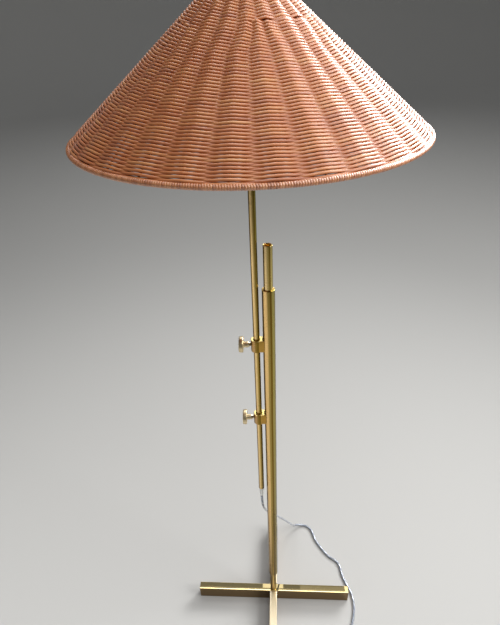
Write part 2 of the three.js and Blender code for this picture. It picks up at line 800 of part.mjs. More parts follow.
function weave() {
  const change = slopeLength * stakeChangeShare;
  const bottom = rimHoopDiameter / 2 + 2 * fit;
  const top = slopeLength - topWireDiameter / 2 - wallTopGap;
  const stations = [
    { along: bottom, stakes: 0 },
    { along: wallSeat, stakes: lowerStakes },
    { along: change - stakeChangeLength / 2, stakes: lowerStakes },
    { along: change + stakeChangeLength / 2, stakes: upperStakes },
    { along: slopeLength - wallSeat - stakeDiameter, stakes: upperStakes },
    { along: top, stakes: 0 },
  ];
  const loop = [
    ...stations.map((station) => ({ ...station, side: 1 })),
    ...[...stations].reverse().map((station) => ({ ...station, side: -1 })),
  ];
  const positions = [];
  const index = [];
  for (let i = 0; i < weaveSides; i++) {
    const turn = (2 * Math.PI * i) / weaveSides;
    const angle = firstStakeAngle + turn;
    for (const { along, stakes, side } of loop) {
      const swell = stakes ? Math.abs(Math.cos((stakes * turn) / 2)) : 0;
      const half = valley + (crest - valley) * swell;
      const point = rimCentre.clone().addScaledVector(upSlope, along);
      point.addScaledVector(outward, side * half);
      positions.push(point.x * Math.cos(angle), point.x * Math.sin(angle), point.y);
    }
  }
  for (let i = 0; i < weaveSides; i++) {
    const nextSide = (i + 1) % weaveSides;
    for (let k = 0; k < loop.length; k++) {
      const next = (k + 1) % loop.length;
      const [a, b] = [i * loop.length + k, nextSide * loop.length + k];
      const [c, d] = [nextSide * loop.length + next, i * loop.length + next];
      index.push(a, b, c, a, c, d);
    }
  }
  const geometry = new THREE.BufferGeometry();
  geometry.setAttribute("position", new THREE.Float32BufferAttribute(positions, 3));
  geometry.setIndex(index);
  geometry.computeVertexNormals();
  return geometry;
}
add("shade_weave", weave(), rattan, stemAxis);

const rimHoop = new THREE.TorusGeometry(rimCentre.x, rimHoopDiameter / 2, wireSides, ringSides);
add("rim_hoop", rimHoop, steel, stemAxis.clone().setZ(rimCentre.y));

// Cane wrapping of a ring: a round channel that is open where the wall and the wires come in
function wrapping(centre, diameter, openFrom, openTo, sides) {
  const outer = diameter / 2;
  const inner = outer - wrapWall;
  const arc = (radius) =>
    Array.from({ length: wrapSteps + 1 }, (_, i) => {
      const angle = openTo + ((openFrom + 2 * Math.PI - openTo) * i) / wrapSteps;
      return [centre.x + radius * Math.cos(angle), centre.y + radius * Math.sin(angle)];
    });
  return turned([...arc(outer), ...arc(inner).reverse()], sides);
}

const openingAngle = (diameter) => Math.asin((valley + 2 * fit) / (diameter / 2 - wrapWall));
const wallAtRim = Math.atan2(upSlope.y, upSlope.x);
const rimOpening = openingAngle(rimWrapDiameter);
const rimWrap = wrapping(rimCentre, rimWrapDiameter, wallAtRim - rimOpening, wallAtRim + rimOpening, rimSides);
add("rim_wrapping", rimWrap, cane, stemAxis);

const wallAtTop = wallAtRim - Math.PI;
const topOpening = openingAngle(topWrapDiameter);
const wiresAtTop = -Math.PI / 2 - Math.asin((wireRadius + fit) / (topWrapDiameter / 2 - wrapWall));
const topWrap = wrapping(topCentre, topWrapDiameter, wiresAtTop, wallAtTop + topOpening, ringSides);
add("top_wrapping", topWrap, cane, stemAxis);

export default lamp;
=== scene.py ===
import bpy
import bmesh
from math import asin, atan2, ceil, copysign, cos, pi, radians, sin, sqrt
from mathutils import Matrix, Vector


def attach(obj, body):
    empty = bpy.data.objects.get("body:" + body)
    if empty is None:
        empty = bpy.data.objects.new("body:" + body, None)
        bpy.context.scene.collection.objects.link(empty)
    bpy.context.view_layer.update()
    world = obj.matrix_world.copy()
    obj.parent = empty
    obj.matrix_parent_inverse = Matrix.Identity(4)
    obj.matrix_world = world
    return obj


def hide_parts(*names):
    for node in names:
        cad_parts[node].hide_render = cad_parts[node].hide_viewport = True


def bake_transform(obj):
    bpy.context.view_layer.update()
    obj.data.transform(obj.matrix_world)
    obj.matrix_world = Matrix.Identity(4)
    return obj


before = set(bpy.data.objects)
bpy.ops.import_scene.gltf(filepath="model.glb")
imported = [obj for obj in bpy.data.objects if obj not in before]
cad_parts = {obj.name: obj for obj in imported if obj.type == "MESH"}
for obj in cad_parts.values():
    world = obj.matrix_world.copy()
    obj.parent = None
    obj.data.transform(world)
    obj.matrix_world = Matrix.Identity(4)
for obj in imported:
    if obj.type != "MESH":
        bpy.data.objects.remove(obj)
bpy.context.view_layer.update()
mm = 0.001
fullTurn = 2 * pi
stemX = -22 * mm  # the stem and the shade stand beside the post
print("frame loaded:", len(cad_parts), "nodes")


def linked(name, data):
    made = bpy.data.objects.new(name, data)
    bpy.context.scene.collection.objects.link(made)
    return made


def placed(name, mesh, material, body, stands):
    # a piece of the lamp, the body that it moves with and the solids that it stands for
    mesh.name = name
    piece = linked(name, mesh)
    if material:
        mesh.materials.clear()
        mesh.materials.append(material)
    if body:
        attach(piece, body)
    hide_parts(*stands.split())
    return piece


def coloured(material, nodes):
    # inner solids keep their shape and take a finish
    for node in nodes.split():
        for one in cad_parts[node].material_slots:
            one.material = material


def smoothed(mesh, angle=35):
    mesh.shade_smooth()
    mesh.set_sharp_from_angle(angle=radians(angle))
    return mesh


def plainMesh(points, faces):
    mesh = bpy.data.meshes.new("shape")
    mesh.from_pydata([tuple(p) for p in points], [], faces)
    return mesh


def opened(*meshes):
    # takes meshes together for more work
    made = bmesh.new()
    for mesh in meshes:
        made.from_mesh(mesh)
        bpy.data.meshes.remove(mesh)
    return made


def kept(made):
    # turns the faces outwards and keeps the shape as a mesh
    bmesh.ops.recalc_face_normals(made, faces=made.faces)
    mesh = bpy.data.meshes.new("shape")
    made.to_mesh(mesh)
    made.free()
    return mesh


def meshFrom(points, faces, angle=35):
    made = opened(plainMesh(points, faces))
    bmesh.ops.remove_doubles(made, verts=made.verts, dist=1e-7)
    bmesh.ops.dissolve_degenerate(made, dist=1e-7, edges=made.edges)
    return smoothed(kept(made), angle)


def strips(rows, size, around=True, closed=True):
    # four-sided faces between each row of points and the next
    faces = []
    for i in range(rows if around else rows - 1):
        here, there = i * size, (i + 1) % rows * size
        for k in range(size if closed else size - 1):
            m = (k + 1) % size
            faces.append((here + k, there + k, there + m, here + m))
    return faces


def eased(outline, closed=True, steps=3):
    # rounds each corner (radius, height, ease) of an outline with a short arc
    rounded = []
    count = len(outline)
    for i, (x, y, ease) in enumerate(outline):
        if not ease or (not closed and i in (0, count - 1)):
            rounded.append((x, y))
            continue
        here = Vector((x, y))
        back = Vector(outline[i - 1][:2]) - here
        ahead = Vector(outline[(i + 1) % count][:2]) - here
        reach = min(ease, 0.48 * back.length, 0.48 * ahead.length)
        start, end = here + back.normalized() * reach, here + ahead.normalized() * reach
        for k in range(steps + 1):
            t = k / steps
            rounded.append(tuple(start * (1 - t) ** 2 + here * (2 * t * (1 - t)) + end * t**2))
    return rounded


def turned(outline, at=(stemX, 0, 0), towards=(0, 0, 1), sides=64, closed=True, steps=3, angle=35):
    # outline may be a function of the angle, for a piece that isn't round all over
    axis, across = Vector(towards), Vector((0, 1, 0))
    other = axis.cross(across)
    points = []
    for i in range(sides):
        turn = fullTurn * i / sides
        out = across * cos(turn) + other * sin(turn)
        profile = eased(outline(turn) if callable(outline) else outline, closed, steps)
        points += [Vector(at) + axis * (z * mm) + out * (r * mm) for r, z in profile]
    return meshFrom(points, strips(sides, len(profile), True, closed), angle)


def centripetal(route, steps):
    # a smooth line through the points of a route, as the part's own routes run
    points = [Vector(p) for p in route]
    points = [points[0] * 2 - points[1]] + points + [points[-1] * 2 - points[-2]]
    line = []
    for i in range(1, len(points) - 2):
        a, b, c, d = points[i - 1 : i + 3]
        times = [0.0]
        for p, q in ((a, b), (b, c), (c, d)):
            times.append(times[-1] + max((q - p).length, 1e-6) ** 0.5)
        for k in range(steps):
            t = times[1] + (times[2] - times[1]) * k / steps

            def between(p, q, low, high):
                low, high = times[low], times[high]
                return p * ((high - t) / (high - low)) + q * ((t - low) / (high - low))

            ab, bc, cd = between(a, b, 0, 1), between(b, c, 1, 2), between(c, d, 2, 3)
            line.append(between(between(ab, bc, 0, 2), between(bc, cd, 1, 3), 1, 2))
    return line + [points[-2].copy()]


def lengthsAlong(line):
    lengths = [0.0]
    for p, q in zip(line, line[1:]):
        lengths.append(lengths[-1] + (q - p).length)
    return lengths


def evenly(line, step):
    # the same line with its points at even distances, and its length
    lengths = lengthsAlong(line)
    count = max(2, round(lengths[-1] / step))
    spaced, k = [], 0
    for i in range(count + 1):
        want = lengths[-1] * i / count
        while k < len(lengths) - 2 and lengths[k + 1] < want:
            k += 1
        share = (want - lengths[k]) / max(lengths[k + 1] - lengths[k], 1e-12)
        spaced.append(line[k].lerp(line[k + 1], min(max(share, 0), 1)))
    return spaced, lengths[-1]


def drawnOut(line, radius, sides):
    # a round wire along a line, without twist
    last = len(line) - 1
    pairs = [(line[max(i - 1, 0)], line[min(i + 1, last)]) for i in range(last + 1)]
    tangents = [(after - before).normalized() for before, after in pairs]
    across = tangents[0].orthogonal().normalized()
    points = []
    for spot, tangent in zip(line, tangents):
        across = (across - tangent * across.dot(tangent)).normalized()
        up = tangent.cross(across)
        for k in range(sides):
            turn = fullTurn * k / sides
            points.append(spot + (across * cos(turn) + up * sin(turn)) * radius)
    faces = [(a, d, c, b) for a, b, c, d in strips(last + 1, sides, False)]
    faces.append(tuple(reversed(range(sides))))
    faces.append(tuple(range(last * sides, (last + 1) * sides)))
    return plainMesh(points, faces)


def bevelSharp(made, width, segments, angle):
    least = radians(angle)
    sharp = [e for e in made.edges if len(e.link_faces) == 2 and e.calc_face_angle() > least]
    how = {"segments": segments, "profile": 0.5, "affect": "EDGES", "clamp_overlap": True}
    bmesh.ops.bevel(made, geom=sharp, offset=width, **how)


def bevelled(mesh, width, segments, angle):
    made = opened(mesh)
    bmesh.ops.recalc_face_normals(made, faces=made.faces)
    bevelSharp(made, width, segments, angle)
    mesh = kept(made)
    mesh.shade_smooth()
    leans = [Vector() for vertex in mesh.vertices]
    for face in mesh.polygons:  # the large flat faces win over the narrow ones of the bevel
        for i in face.vertices:
            leans[i] += face.normal * face.area
    mesh.normals_split_custom_set_from_vertices([tuple(lean.normalized()) for lean in leans])
    return mesh


def ribs(spots, steps, ease):
    # the same small steps of an outline from each spot (radius, height)
    return [(radius + a, at + b, ease) for radius, at in spots for a, b in steps]


def easeInOut(share):
    return share * share * (3 - 2 * share)


def stemSpot(radius, turn, height):
    # a point round the stem's axis, from sizes in mm
    return Vector((stemX + radius * cos(turn) * mm, radius * sin(turn) * mm, height * mm))


def acting(operation, swapped=False):
    def act(self, other):
        return self.s.sum(operation, *((other, self) if swapped else (self, other)))

    return act


class Value:
    # an output of a node that can be added, multiplied and so on
    def __init__(self, s, socket):
        self.s, self.socket = s, socket

    __add__, __radd__ = acting("ADD"), acting("ADD", True)
    __sub__, __rsub__ = acting("SUBTRACT"), acting("SUBTRACT", True)
    __mul__, __rmul__ = acting("MULTIPLY"), acting("MULTIPLY", True)
    __truediv__ = acting("DIVIDE")


class Sums:
    # one short word for each kind of node, so that a rule reads as a line of sums
    def __init__(self, tree):
        self.tree = tree

    def put(self, value, socket):
        if isinstance(value, Value):
            self.tree.links.new(value.socket, socket)
        else:
            socket.default_value = value

    def node(self, kind, inputs=(), out=0, **settings):
        # inputs come by name or in order; without a choice all outputs are given, by name
        node = self.tree.nodes.new(kind)
        for label, value in settings.items():
            setattr(node, label, value)
        for which, value in inputs.items() if isinstance(inputs, dict) else enumerate(inputs):
            self.put(value, node.inputs[which])
        if out is None:
            return {end.name: Value(self, end) for end in node.outputs}
        return Value(self, node.outputs[out])

    def geometry(self, kind, inputs=(), **settings):
        return self.node("GeometryNode" + kind, inputs, **settings)

    def group(self, group, **inputs):
        return self.node("ShaderNodeGroup", inputs, None, node_tree=group)

    def sum(self, operation, *values):
        return self.node("ShaderNodeMath", values, operation=operation)

    def distance(self, a, b):
        return self.sum("SQRT", a * a + b * b)

    def vector(self, *parts):
        return self.node("ShaderNodeCombineXYZ", parts)

    def spot(self, radius, angle, height, x=0.0):
        # a point at a radius and an angle round an upright line at x
        cosine, sine = self.sum("COSINE", angle), self.sum("SINE", angle)
        return self.vector(cosine * radius + x, sine * radius, height)

    def split(self, vector):
        return self.node("ShaderNodeSeparateXYZ", (vector,), None).values()

    def scaled(self, vector, by):
        return self.node("ShaderNodeVectorMath", (vector, by), operation="MULTIPLY")

    def ramped(self, value, low, high, to=(0.0, 1.0), smooth=False):
        kind = "SMOOTHSTEP" if smooth else "LINEAR"
        given = (value, low, high, *to)
        return self.node("ShaderNodeMapRange", given, interpolation_type=kind)

    def within(self, value, low, full, over, high):
        # rises to 1 between low and full, falls again between over and high
        rise = self.ramped(value, low, full, smooth=True)
        return rise * self.ramped(value, high, over, smooth=True)

    def noise(self, vector, scale=1.0, detail=2.0, roughness=0.5):
        given = {"Vector": vector, "Scale": scale, "Detail": detail, "Roughness": roughness}
        return self.node("ShaderNodeTexNoise", given)

    def chance(self, inputs):
        return self.node("FunctionNodeRandomValue", inputs, 1, data_type="FLOAT")

    def blend(self, share, a, b):
        return self.node("ShaderNodeMix", {0: share, 6: a, 7: b}, 2, data_type="RGBA")

    def place(self, kind="Object"):
        return self.node("ShaderNodeTexCoord", (), kind)

    def attribute(self, name):
        return self.node("ShaderNodeAttribute", (), "Fac", attribute_name=name)


def mixed(a, b, share):
    return a + (b - a) * share


def tint(red, green, blue):
    # a colour as a screen shows it, 0 to 255
    def linear(part):
        part /= 255
        return part / 12.92 if part <= 0.04045 else ((part + 0.055) / 1.055) ** 2.4

    return (linear(red), linear(green), linear(blue), 1.0)


def newGroup(kind, name, inputs):
    # a node group with inputs of the kinds of their first values
    group = bpy.data.node_groups.new(name, kind)
    s = Sums(group)
    for label, value in inputs.items():
        if isinstance(value, tuple):
            kind = "Color" if len(value) == 4 else "Vector"
        else:
            kind = "Int" if isinstance(value, int) else "Float"
        socket = addSocket(group, label, "INPUT", kind)
        socket.default_value = value
    return group, s, s.node("NodeGroupInput", (), None), group.nodes.new("NodeGroupOutput")


def addSocket(group, label, side, kind):
    return group.interface.new_socket(name=label, in_out=side, socket_type="NodeSocket" + kind)


def shaderGroup(name, rule, inputs):
    # rule(s, given) says what the group puts out, by name
    group, s, given, leave = newGroup("ShaderNodeTree", name, inputs)
    for label, value in rule(s, given).items():
        addSocket(group, label, "OUTPUT", "Color" if value.socket.type == "RGBA" else "Float")
        s.put(value, leave.inputs[label])
    return group


def newMaterial(name, **settings):
    material = bpy.data.materials.new(name)
    material.use_nodes = True
    s = Sums(material.node_tree)
    s.material, s.look = material, s.tree.nodes["Principled BSDF"].inputs
    for label, value in settings.items():
        s.put(value, s.look[label])
    return s


def surfaced(s, colour, roughness, height, strength, depth):
    # gives a finish its colour, its gloss and its fine relief
    relief = {"Height": height, "Strength": strength, "Distance": depth}
    s.put(colour, s.look["Base Color"])
    s.put(roughness, s.look["Roughness"])
    s.put(s.node("ShaderNodeBump", relief), s.look["Normal"])
    return s.material


cameraSetup = {
    "place": (20.38 * mm, -716.82 * mm, 1324.21 * mm),
    "pitch": 0.5741, "roll": 0.0416, "yaw": -0.073,
    "focalShare": 503.14 / 625,  # focal length over the frame's height
    "shiftUp": 7.46 / 625, "clip": (0.02, 60),
}


def standCamera(place, pitch, roll, yaw, focalShare, shiftUp, clip):
    data = bpy.data.cameras.new("photoCamera")
    data.lens = focalShare * data.sensor_width
    data.shift_y = shiftUp
    data.clip_start, data.clip_end = clip
    camera = linked("photoCamera", data)
    camera.matrix_world = (
        Matrix.Translation(place) @ Matrix.Rotation(-yaw, 4, "Z")
        @ Matrix.Rotation(pi / 2 - pitch, 4, "X") @ Matrix.Rotation(-roll, 4, "Z")
    )
    bpy.context.scene.camera = camera


standCamera(**cameraSetup)
print("camera stands")


def polishRule(s, given):
    # fine brushing, faint smudges and slow tone of a lacquered brass surface
    spot = given["Vector"]
    return {
        "Streaks": s.noise(s.scaled(spot, given["Brushing"]), 1.0, 3.0, 0.65),
        "Smudges": s.ramped(s.noise(spot, given["Smudge Size"], 4.0, 0.6), 0.42, 0.72),
        "Slow Tone": s.noise(spot, 7.0, 1.0, 0.5),
    }


def fibreRule(s, given):
    # colour, gloss and fine lines of peeled cane; Vector runs along the cane in X
    lines = s.noise(s.scaled(given["Vector"], (18, 900, 900)), 1.0, 2.0, 0.6)
    blotches = s.noise(s.scaled(given["Vector"], (26, 60, 60)), 1.0, 3.0, 0.55)
    nodes = s.noise(s.scaled(given["Vector"], (9, 30, 30)), 1.0, 1.0, 0.4)
    depth = given["Depth"]
    tone = given["Tone"] * 0.42 + lines * 0.2 + blotches * 0.4 + 0.02
    low = s.blend(s.ramped(tone, 0.18, 0.5), given["Dark"], given["Middle"])
    body = s.blend(s.ramped(tone, 0.5, 0.86), low, given["Light"])
    marked = s.blend(s.ramped(nodes, 0.66, 0.78) * 0.4, body, given["Dark"])
    return {
        # painted shade where a weaver passes inside the stakes
        "Colour": s.blend(depth * 0.8, marked, given["Shadowed"]),
        "Roughness": blotches * 0.22 + depth * 0.18 + 0.3,
        "Height": lines * 0.7 + blotches * 0.3,
    }


def mouldRule(s, given):
    # the fine grain and handling marks of moulded plastic and rubber
    smudges = s.ramped(s.noise(given["Vector"], 90.0, 3.0, 0.6), 0.4, 0.7)
    return {"Grain": s.noise(given["Vector"], given["Grain"], 2.0, 0.5), "Smudges": smudges}


# where the painted highlights, dark painted reflections and green painted reflection lie round a
# tube, as shares of a turn
paintedHighlightBands = ((0.335, 0.37, 0.45, 0.495), (0.04, 0.09, 0.13, 0.2), (0.76, 0.82, 0.86, 0.92))
paintedDarkReflectionBands = ((0.515, 0.545, 0.575, 0.595), (0.21, 0.26, 0.35, 0.37), (0.92, 0.96, 0.98, 1.0))
paintedGreenReflectionBand = (0.575, 0.6, 0.71, 0.76)


def paintedBandRule(s, given):
    # long soft bands round a drawn tube: painted highlights, dark painted reflections and a green
    # painted reflection, as its surroundings would mirror in it
    x, y, z = s.split(given["Vector"])
    around = s.sum("ARCTAN2", x - given["Centre X"], y * -1.0)
    wander = s.noise(s.vector(z * 2.2, given["Centre X"], 3.0), 1.0, 2.0) - 0.5
    turn = (around + wander * 0.3) * (1 / fullTurn) + (0.5 - given["Turned By"])
    turn = s.sum("FRACT", turn)
    pale, deep = (sum(s.within(turn, *band) for band in paintedBands) for paintedBands in (paintedHighlightBands, paintedDarkReflectionBands))
    banded = s.blend(pale, given["Middle"], given["Pale"])
    banded = s.blend(deep, banded, given["Deep"])
    return {"Colour": s.blend(s.within(turn, *paintedGreenReflectionBand), banded, given["Green Gold"])}


polishMarks = shaderGroup("polishMarks", polishRule, {
    "Vector": (0, 0, 0), "Brushing": (1, 1, 1), "Smudge Size": 40.0,
})
caneFibres = shaderGroup("caneFibres", fibreRule, {
    "Vector": (0, 0, 0), "Tone": 0.5, "Depth": 0.0, "Dark": tint(166, 78, 12),
    "Middle": tint(210, 118, 42), "Light": tint(232, 158, 84), "Shadowed": tint(130, 46, 4),
})
mouldMarks = shaderGroup("mouldMarks", mouldRule, {"Vector": (0, 0, 0), "Grain": 1800.0})
# colours of the painted reflection bands on the drawn tubes
drawnBands = shaderGroup("drawnBands", paintedBandRule, {
    "Vector": (0, 0, 0), "Centre X": 0.0, "Turned By": 0.0, "Pale": tint(255, 212, 142),
    "Middle": tint(168, 144, 74), "Deep": tint(116, 90, 26), "Green Gold": tint(194, 172, 100),
})

brassLook = {
    "bright": tint(196, 168, 104), "deep": tint(164, 136, 76),
    "pale": tint(234, 216, 178), "paleDeep": tint(220, 200, 156),
    "barBright": tint(230, 210, 156), "barDeep": tint(214, 192, 136),
    # the cross bar's paler tone is a painted reflection of bright sky
    "paintedArmReflection": tint(248, 234, 206), "paintedArmReflectionDeep": tint(234, 218, 186),
    # the edge colour is painted shade where a surface turns away from the view
    "edge": tint(92, 70, 30),
    "roughness": 0.2,
    "smudgeSize": 34.0,
    "paintedBandShare": 0.92, "paintedFacingShare": 0.85,
}


def brassTone(s, marks, fine, fineShare, bright, deep):
    share = fine * fineShare + marks["Slow Tone"] * (1 - fineShare) + marks["Smudges"] * 0.18
    return s.blend(s.ramped(share, 0.35, 0.75), brassLook[bright], brassLook[deep])


def brassMarks(s, brushing):
    given = {"Brushing": brushing, "Smudge Size": brassLook["smudgeSize"]}
    return s.group(polishMarks, Vector=s.place(), **given)


def brass(name, brushing, bright="bright", deep="deep", rougher=0.0, edge=0.75, grain=0.2,
          spread=0.16, tubeAt=None, facing=None, **paintedBandLooks):
    # lacquered brass; brushing is how tight the lines lie along each axis
    s = newMaterial(name, Metallic=1.0)
    marks = brassMarks(s, brushing)
    shade = brassTone(s, marks, marks["Streaks"], 0.45, bright, deep)
    # painted reflection bands round a tube whose axis stands at tubeAt
    if tubeAt is not None:
        paintedBands = s.group(drawnBands, Vector=s.place(), **{"Centre X": tubeAt}, **paintedBandLooks)
        shade = s.blend(brassLook["paintedBandShare"], shade, paintedBands["Colour"])
    if facing:  # painted light: shade painted on a bar's sides, a highlight painted on a clamp's top
        start, whole, colour = facing
        x, y, up = s.split(s.place("Normal"))
        shade = s.blend(s.ramped(up, start, whole) * brassLook["paintedFacingShare"], shade, colour)
    # painted shade towards the edges, where a surface turns away from the view
    paintedEdgeShade = s.node("ShaderNodeLayerWeight", {"Blend": 0.5}, "Facing")
    paintedEdgeShade = s.ramped(paintedEdgeShade, 0.35, 0.95, smooth=True)
    shade = s.blend(paintedEdgeShade * edge, shade, brassLook["edge"])
    rough = marks["Streaks"] * spread + marks["Smudges"] * (spread * 0.45)
    rough = rough + (brassLook["roughness"] - 0.06 + rougher)
    return surfaced(s, shade, rough, marks["Streaks"], grain, 0.00008)


def turnedBrass(name, centre, axis, bright="bright", deep="deep", rougher=0.0):
    # brass off the lathe: fine rings round the axis that it was turned on
    s = newMaterial(name, Metallic=1.0)
    offsets = [part - middle for part, middle in zip(s.split(s.place()), centre)]
    along = offsets.pop("xyz".index(axis))
    tight = 2600  # how close the rings lie
    rings = s.noise(s.vector(s.distance(*offsets) * tight, along * tight, 0.0), 1.0, 2.0, 0.6)
    marks = brassMarks(s, (30, 30, 30))
    shade = brassTone(s, marks, rings, 0.5, bright, deep)
    rough = rings * 0.14 + marks["Smudges"] * 0.08 + (brassLook["roughness"] - 0.04 + rougher)
    return surfaced(s, shade, rough, rings, 0.3, 0.00006)


switchHeight = 1214.65
drawnUp, drawnAlongX, drawnAlongY = (1500, 1500, 9), (9, 1500, 1500), (1500, 9, 1500)
# the post, spine and stem carry painted reflection bands round their axes
brassPost = brass("brassPost", drawnUp, tubeAt=0.0, **{"Green Gold": tint(164, 152, 84)})
brassSpine = brass("brassSpine", drawnUp, tubeAt=0.0, **{
    "Turned By": 0.012, "Pale": tint(255, 222, 158), "Middle": tint(212, 184, 108),
    "Deep": tint(142, 114, 40), "Green Gold": tint(212, 192, 120),
})
brassStem = brass("brassStem", drawnUp, tubeAt=stemX, edge=0.5, **{
    "Turned By": 0.022, "Pale": tint(255, 218, 152), "Middle": tint(182, 156, 84),
    "Green Gold": tint(150, 138, 60),
})
# the bars' upright sides take a painted shade colour
brassLong = brass(
    "brassLongBar", drawnAlongX, "barBright", "barDeep", rougher=-0.14, spread=0.03, edge=0.3,
    grain=0.0, facing=(0.75, 0.35, tint(106, 77, 44)),
)
# the cross bar's paler brass is a painted sky reflection; its sides take painted shade
brassCross = brass(
    "brassCrossBar", drawnAlongY, "paintedArmReflection", "paintedArmReflectionDeep", rougher=0.12, edge=0.3,
    grain=0.03, facing=(0.75, 0.35, tint(104, 76, 44)),
)
# the clamps take painted reflection bands round the stem and a painted highlight on their tops
brassCast = brass(
    "brassClamp", (260, 260, 260), rougher=0.06, tubeAt=stemX,
    facing=(0.3, 0.85, tint(255, 232, 156)), **{
        "Turned By": -0.02, "Pale": tint(206, 164, 108), "Middle": tint(150, 120, 50),
        "Deep": tint(122, 96, 26), "Green Gold": tint(186, 144, 66),
    },
)
brassHolder = turnedBrass("brassHolder", (stemX, 0.0, 0.0), "z")
brassKnob = turnedBrass("brassSwitchKnob", (0.0, 0.0, switchHeight * mm), "x", "pale", "paleDeep")
brassWire = brass("brassWire", (420, 420, 420), rougher=0.05)


def cane(name, hasRun=True, **looks):
    # cane that runs round the shade; without a run of its own, it follows the angle
    s = newMaterial(name, **{"Coat Roughness": 0.46, "Coat IOR": 2.0, "Specular IOR Level": 0.3})
    depth = s.attribute("caneDepth")
    x, y, z = s.split(s.place())
    off = x - stemX
    along = s.attribute("caneRun") if hasRun else s.sum("ARCTAN2", y, off) * 0.12
    looks["Vector"] = s.vector(along, s.distance(off, y), z)
    marks = s.group(caneFibres, Tone=s.attribute("caneTone"), Depth=depth, **looks)
    s.put(1.0 - depth * 0.7, s.look["Coat Weight"])  # painted shade: the coat is weaker in the folds, where shade falls
    return surfaced(s, marks["Colour"], marks["Roughness"], marks["Height"], 0.35, 0.00012)


weaverCane = cane("weaverCane")
stakeCane = cane("stakeCane", Middle=tint(150, 78, 40))
rimLooks = {"Dark": tint(152, 80, 32), "Middle": tint(198, 118, 60), "Light": tint(218, 148, 90)}
rimCane = cane("rimCane", False, **rimLooks)


def plastic(name, colour, worn, roughness, **coat):
    s = newMaterial(name, **coat)
    marks = s.group(mouldMarks, Vector=s.place())
    smudges, grain = marks["Smudges"], marks["Grain"]
    colour = s.blend(smudges * 0.5, tint(*colour), tint(*worn))
    rough = smudges * 0.1 + grain * 0.06 + roughness
    return surfaced(s, colour, rough, grain, 0.2, 0.00005)


def coat(weight, roughness):
    return {"Coat Weight": weight, "Coat Roughness": roughness}


gripPlastic = plastic("gripPlastic", (252, 252, 248), (240, 240, 234), 0.3)
whitePlastic = plastic("whitePlastic", (232, 232, 226), (214, 214, 206), 0.38)
blackPlastic = plastic("blackPlastic", (34, 34, 36), (48, 48, 50), 0.45)
fibreBoard = plastic("fibreBoard", (168, 150, 120), (140, 122, 94), 0.7)
plugClear = plastic("plugClear", (182, 190, 200), (166, 174, 184), 0.16, **coat(0.5, 0.1))
opalGlass = plastic("opalGlass", (240, 238, 232), (234, 231, 224), 0.28, **coat(0.6, 0.12))


def steel():
    s = newMaterial("plainSteel", Metallic=1.0)
    marks = s.group(polishMarks, Vector=s.place(), Brushing=(500, 500, 500))
    colour = s.blend(marks["Smudges"], tint(186, 187, 190), tint(150, 150, 152))
    return surfaced(s, colour, marks["Streaks"] * 0.2 + 0.24, marks["Streaks"], 0.15, 0.00005)


plainSteel = steel()
coreWind = 0.036  # metres in which the lead's cores wind round once
strandWind = 5200.0  # radians to a metre of the strands in them


def leadJacket():
    # two silvery cores that wind round each other, seen through a clear jacket
    s = newMaterial("clearLead", IOR=1.5, **coat(1.0, 0.08))
    run, around, unused = s.split(s.node("ShaderNodeUVMap"))
    wind = s.sum("SINE", run * (fullTurn / coreWind) + around * fullTurn)
    core = s.ramped(s.sum("ABSOLUTE", wind), 0.25, 0.8, smooth=True)
    strands = s.sum("SINE", run * strandWind + around * (fullTurn * 3))
    marks = s.group(mouldMarks, Vector=s.place())
    silver = s.blend(s.ramped(strands, -1.0, 1.0), tint(164, 172, 186), tint(204, 210, 220))
    jacket = s.blend(core, tint(116, 126, 144), silver)
    jacket = s.blend(marks["Smudges"] * 0.25, jacket, tint(150, 150, 148))
    s.put(s.ramped(core, 0.0, 1.0, (0.0, 0.55)), s.look["Metallic"])
    return surfaced(s, jacket, marks["Smudges"] * 0.12 + 0.2, marks["Grain"], 0.1, 0.00003)


clearLead = leadJacket()
print("finishes mixed")


lead = {
    "diameter": 5.5, "exit": 403.7,
    "sides": 12, "spacing": 3.6,  # of the tube's mesh, and between its rings
    "coilCentre": (138, -133), "coilInnerRadius": 22, "coilPitch": 6,
    "turnsIn": 3.5, "turnsOut": 3.75, "pointsPerTurn": 26,
    "coilStart": 5.5, "lowLayer": 4.05, "layerRise": 6,
}
coilOuterRadius = lead["coilInnerRadius"] + lead["coilPitch"] * lead["turnsOut"]
dropRoute = [
    (-22, 0, lead["exit"]), (-21.8, 0.6, 388), (-20.1, 8, 354), (-14.8, 27, 314),
    (-5.6, 51.5, 269.5), (5, 77.5, 224.5), (17.5, 105, 178), (32, 134, 124), (45.6, 160, 74),
    (55, 180.8, 36.8), (60.6, 196.2, 17), (69.2, 202.8, 9), (77.9, 205.3, 5.2), (84.8, 205.4, 3.6),
]
runRoute = [
    (91.4, 204, 2.9), (99, 200, 2.8), (106.9, 191.3, 2.9), (112.2, 176.2, 2.9),
    (117.3, 159.9, 2.8), (126, 144.5, 2.8), (134, 132, 2.8), (142, 121, 2.8), (151, 110.5, 2.8),
    (162, 102.5, 2.8), (172, 95, 2.8), (178.5, 84.5, 2.8), (181, 71.5, 2.8), (183.5, 56, 2.8),
    (189, 40, 2.8), (196, 24.5, 2.8), (202, 8, 2.8), (205, -10, 2.8), (205, -28, 2.8),
    (202, -46, 2.8), (197, -64, 2.8), (191.5, -81, 2.8), (186.5, -98, 2.9), (182.5, -113, 3.5),
    (181, -120, 4),
]
tailRoute = [
    (132.2, -177.5, 10.05), (128, -177.5, 9.8), (119, -177.8, 8.2), (110, -178.4, 6.7),
    (103, -178.6, 6.2), (96, -178.6, 6.2),
]


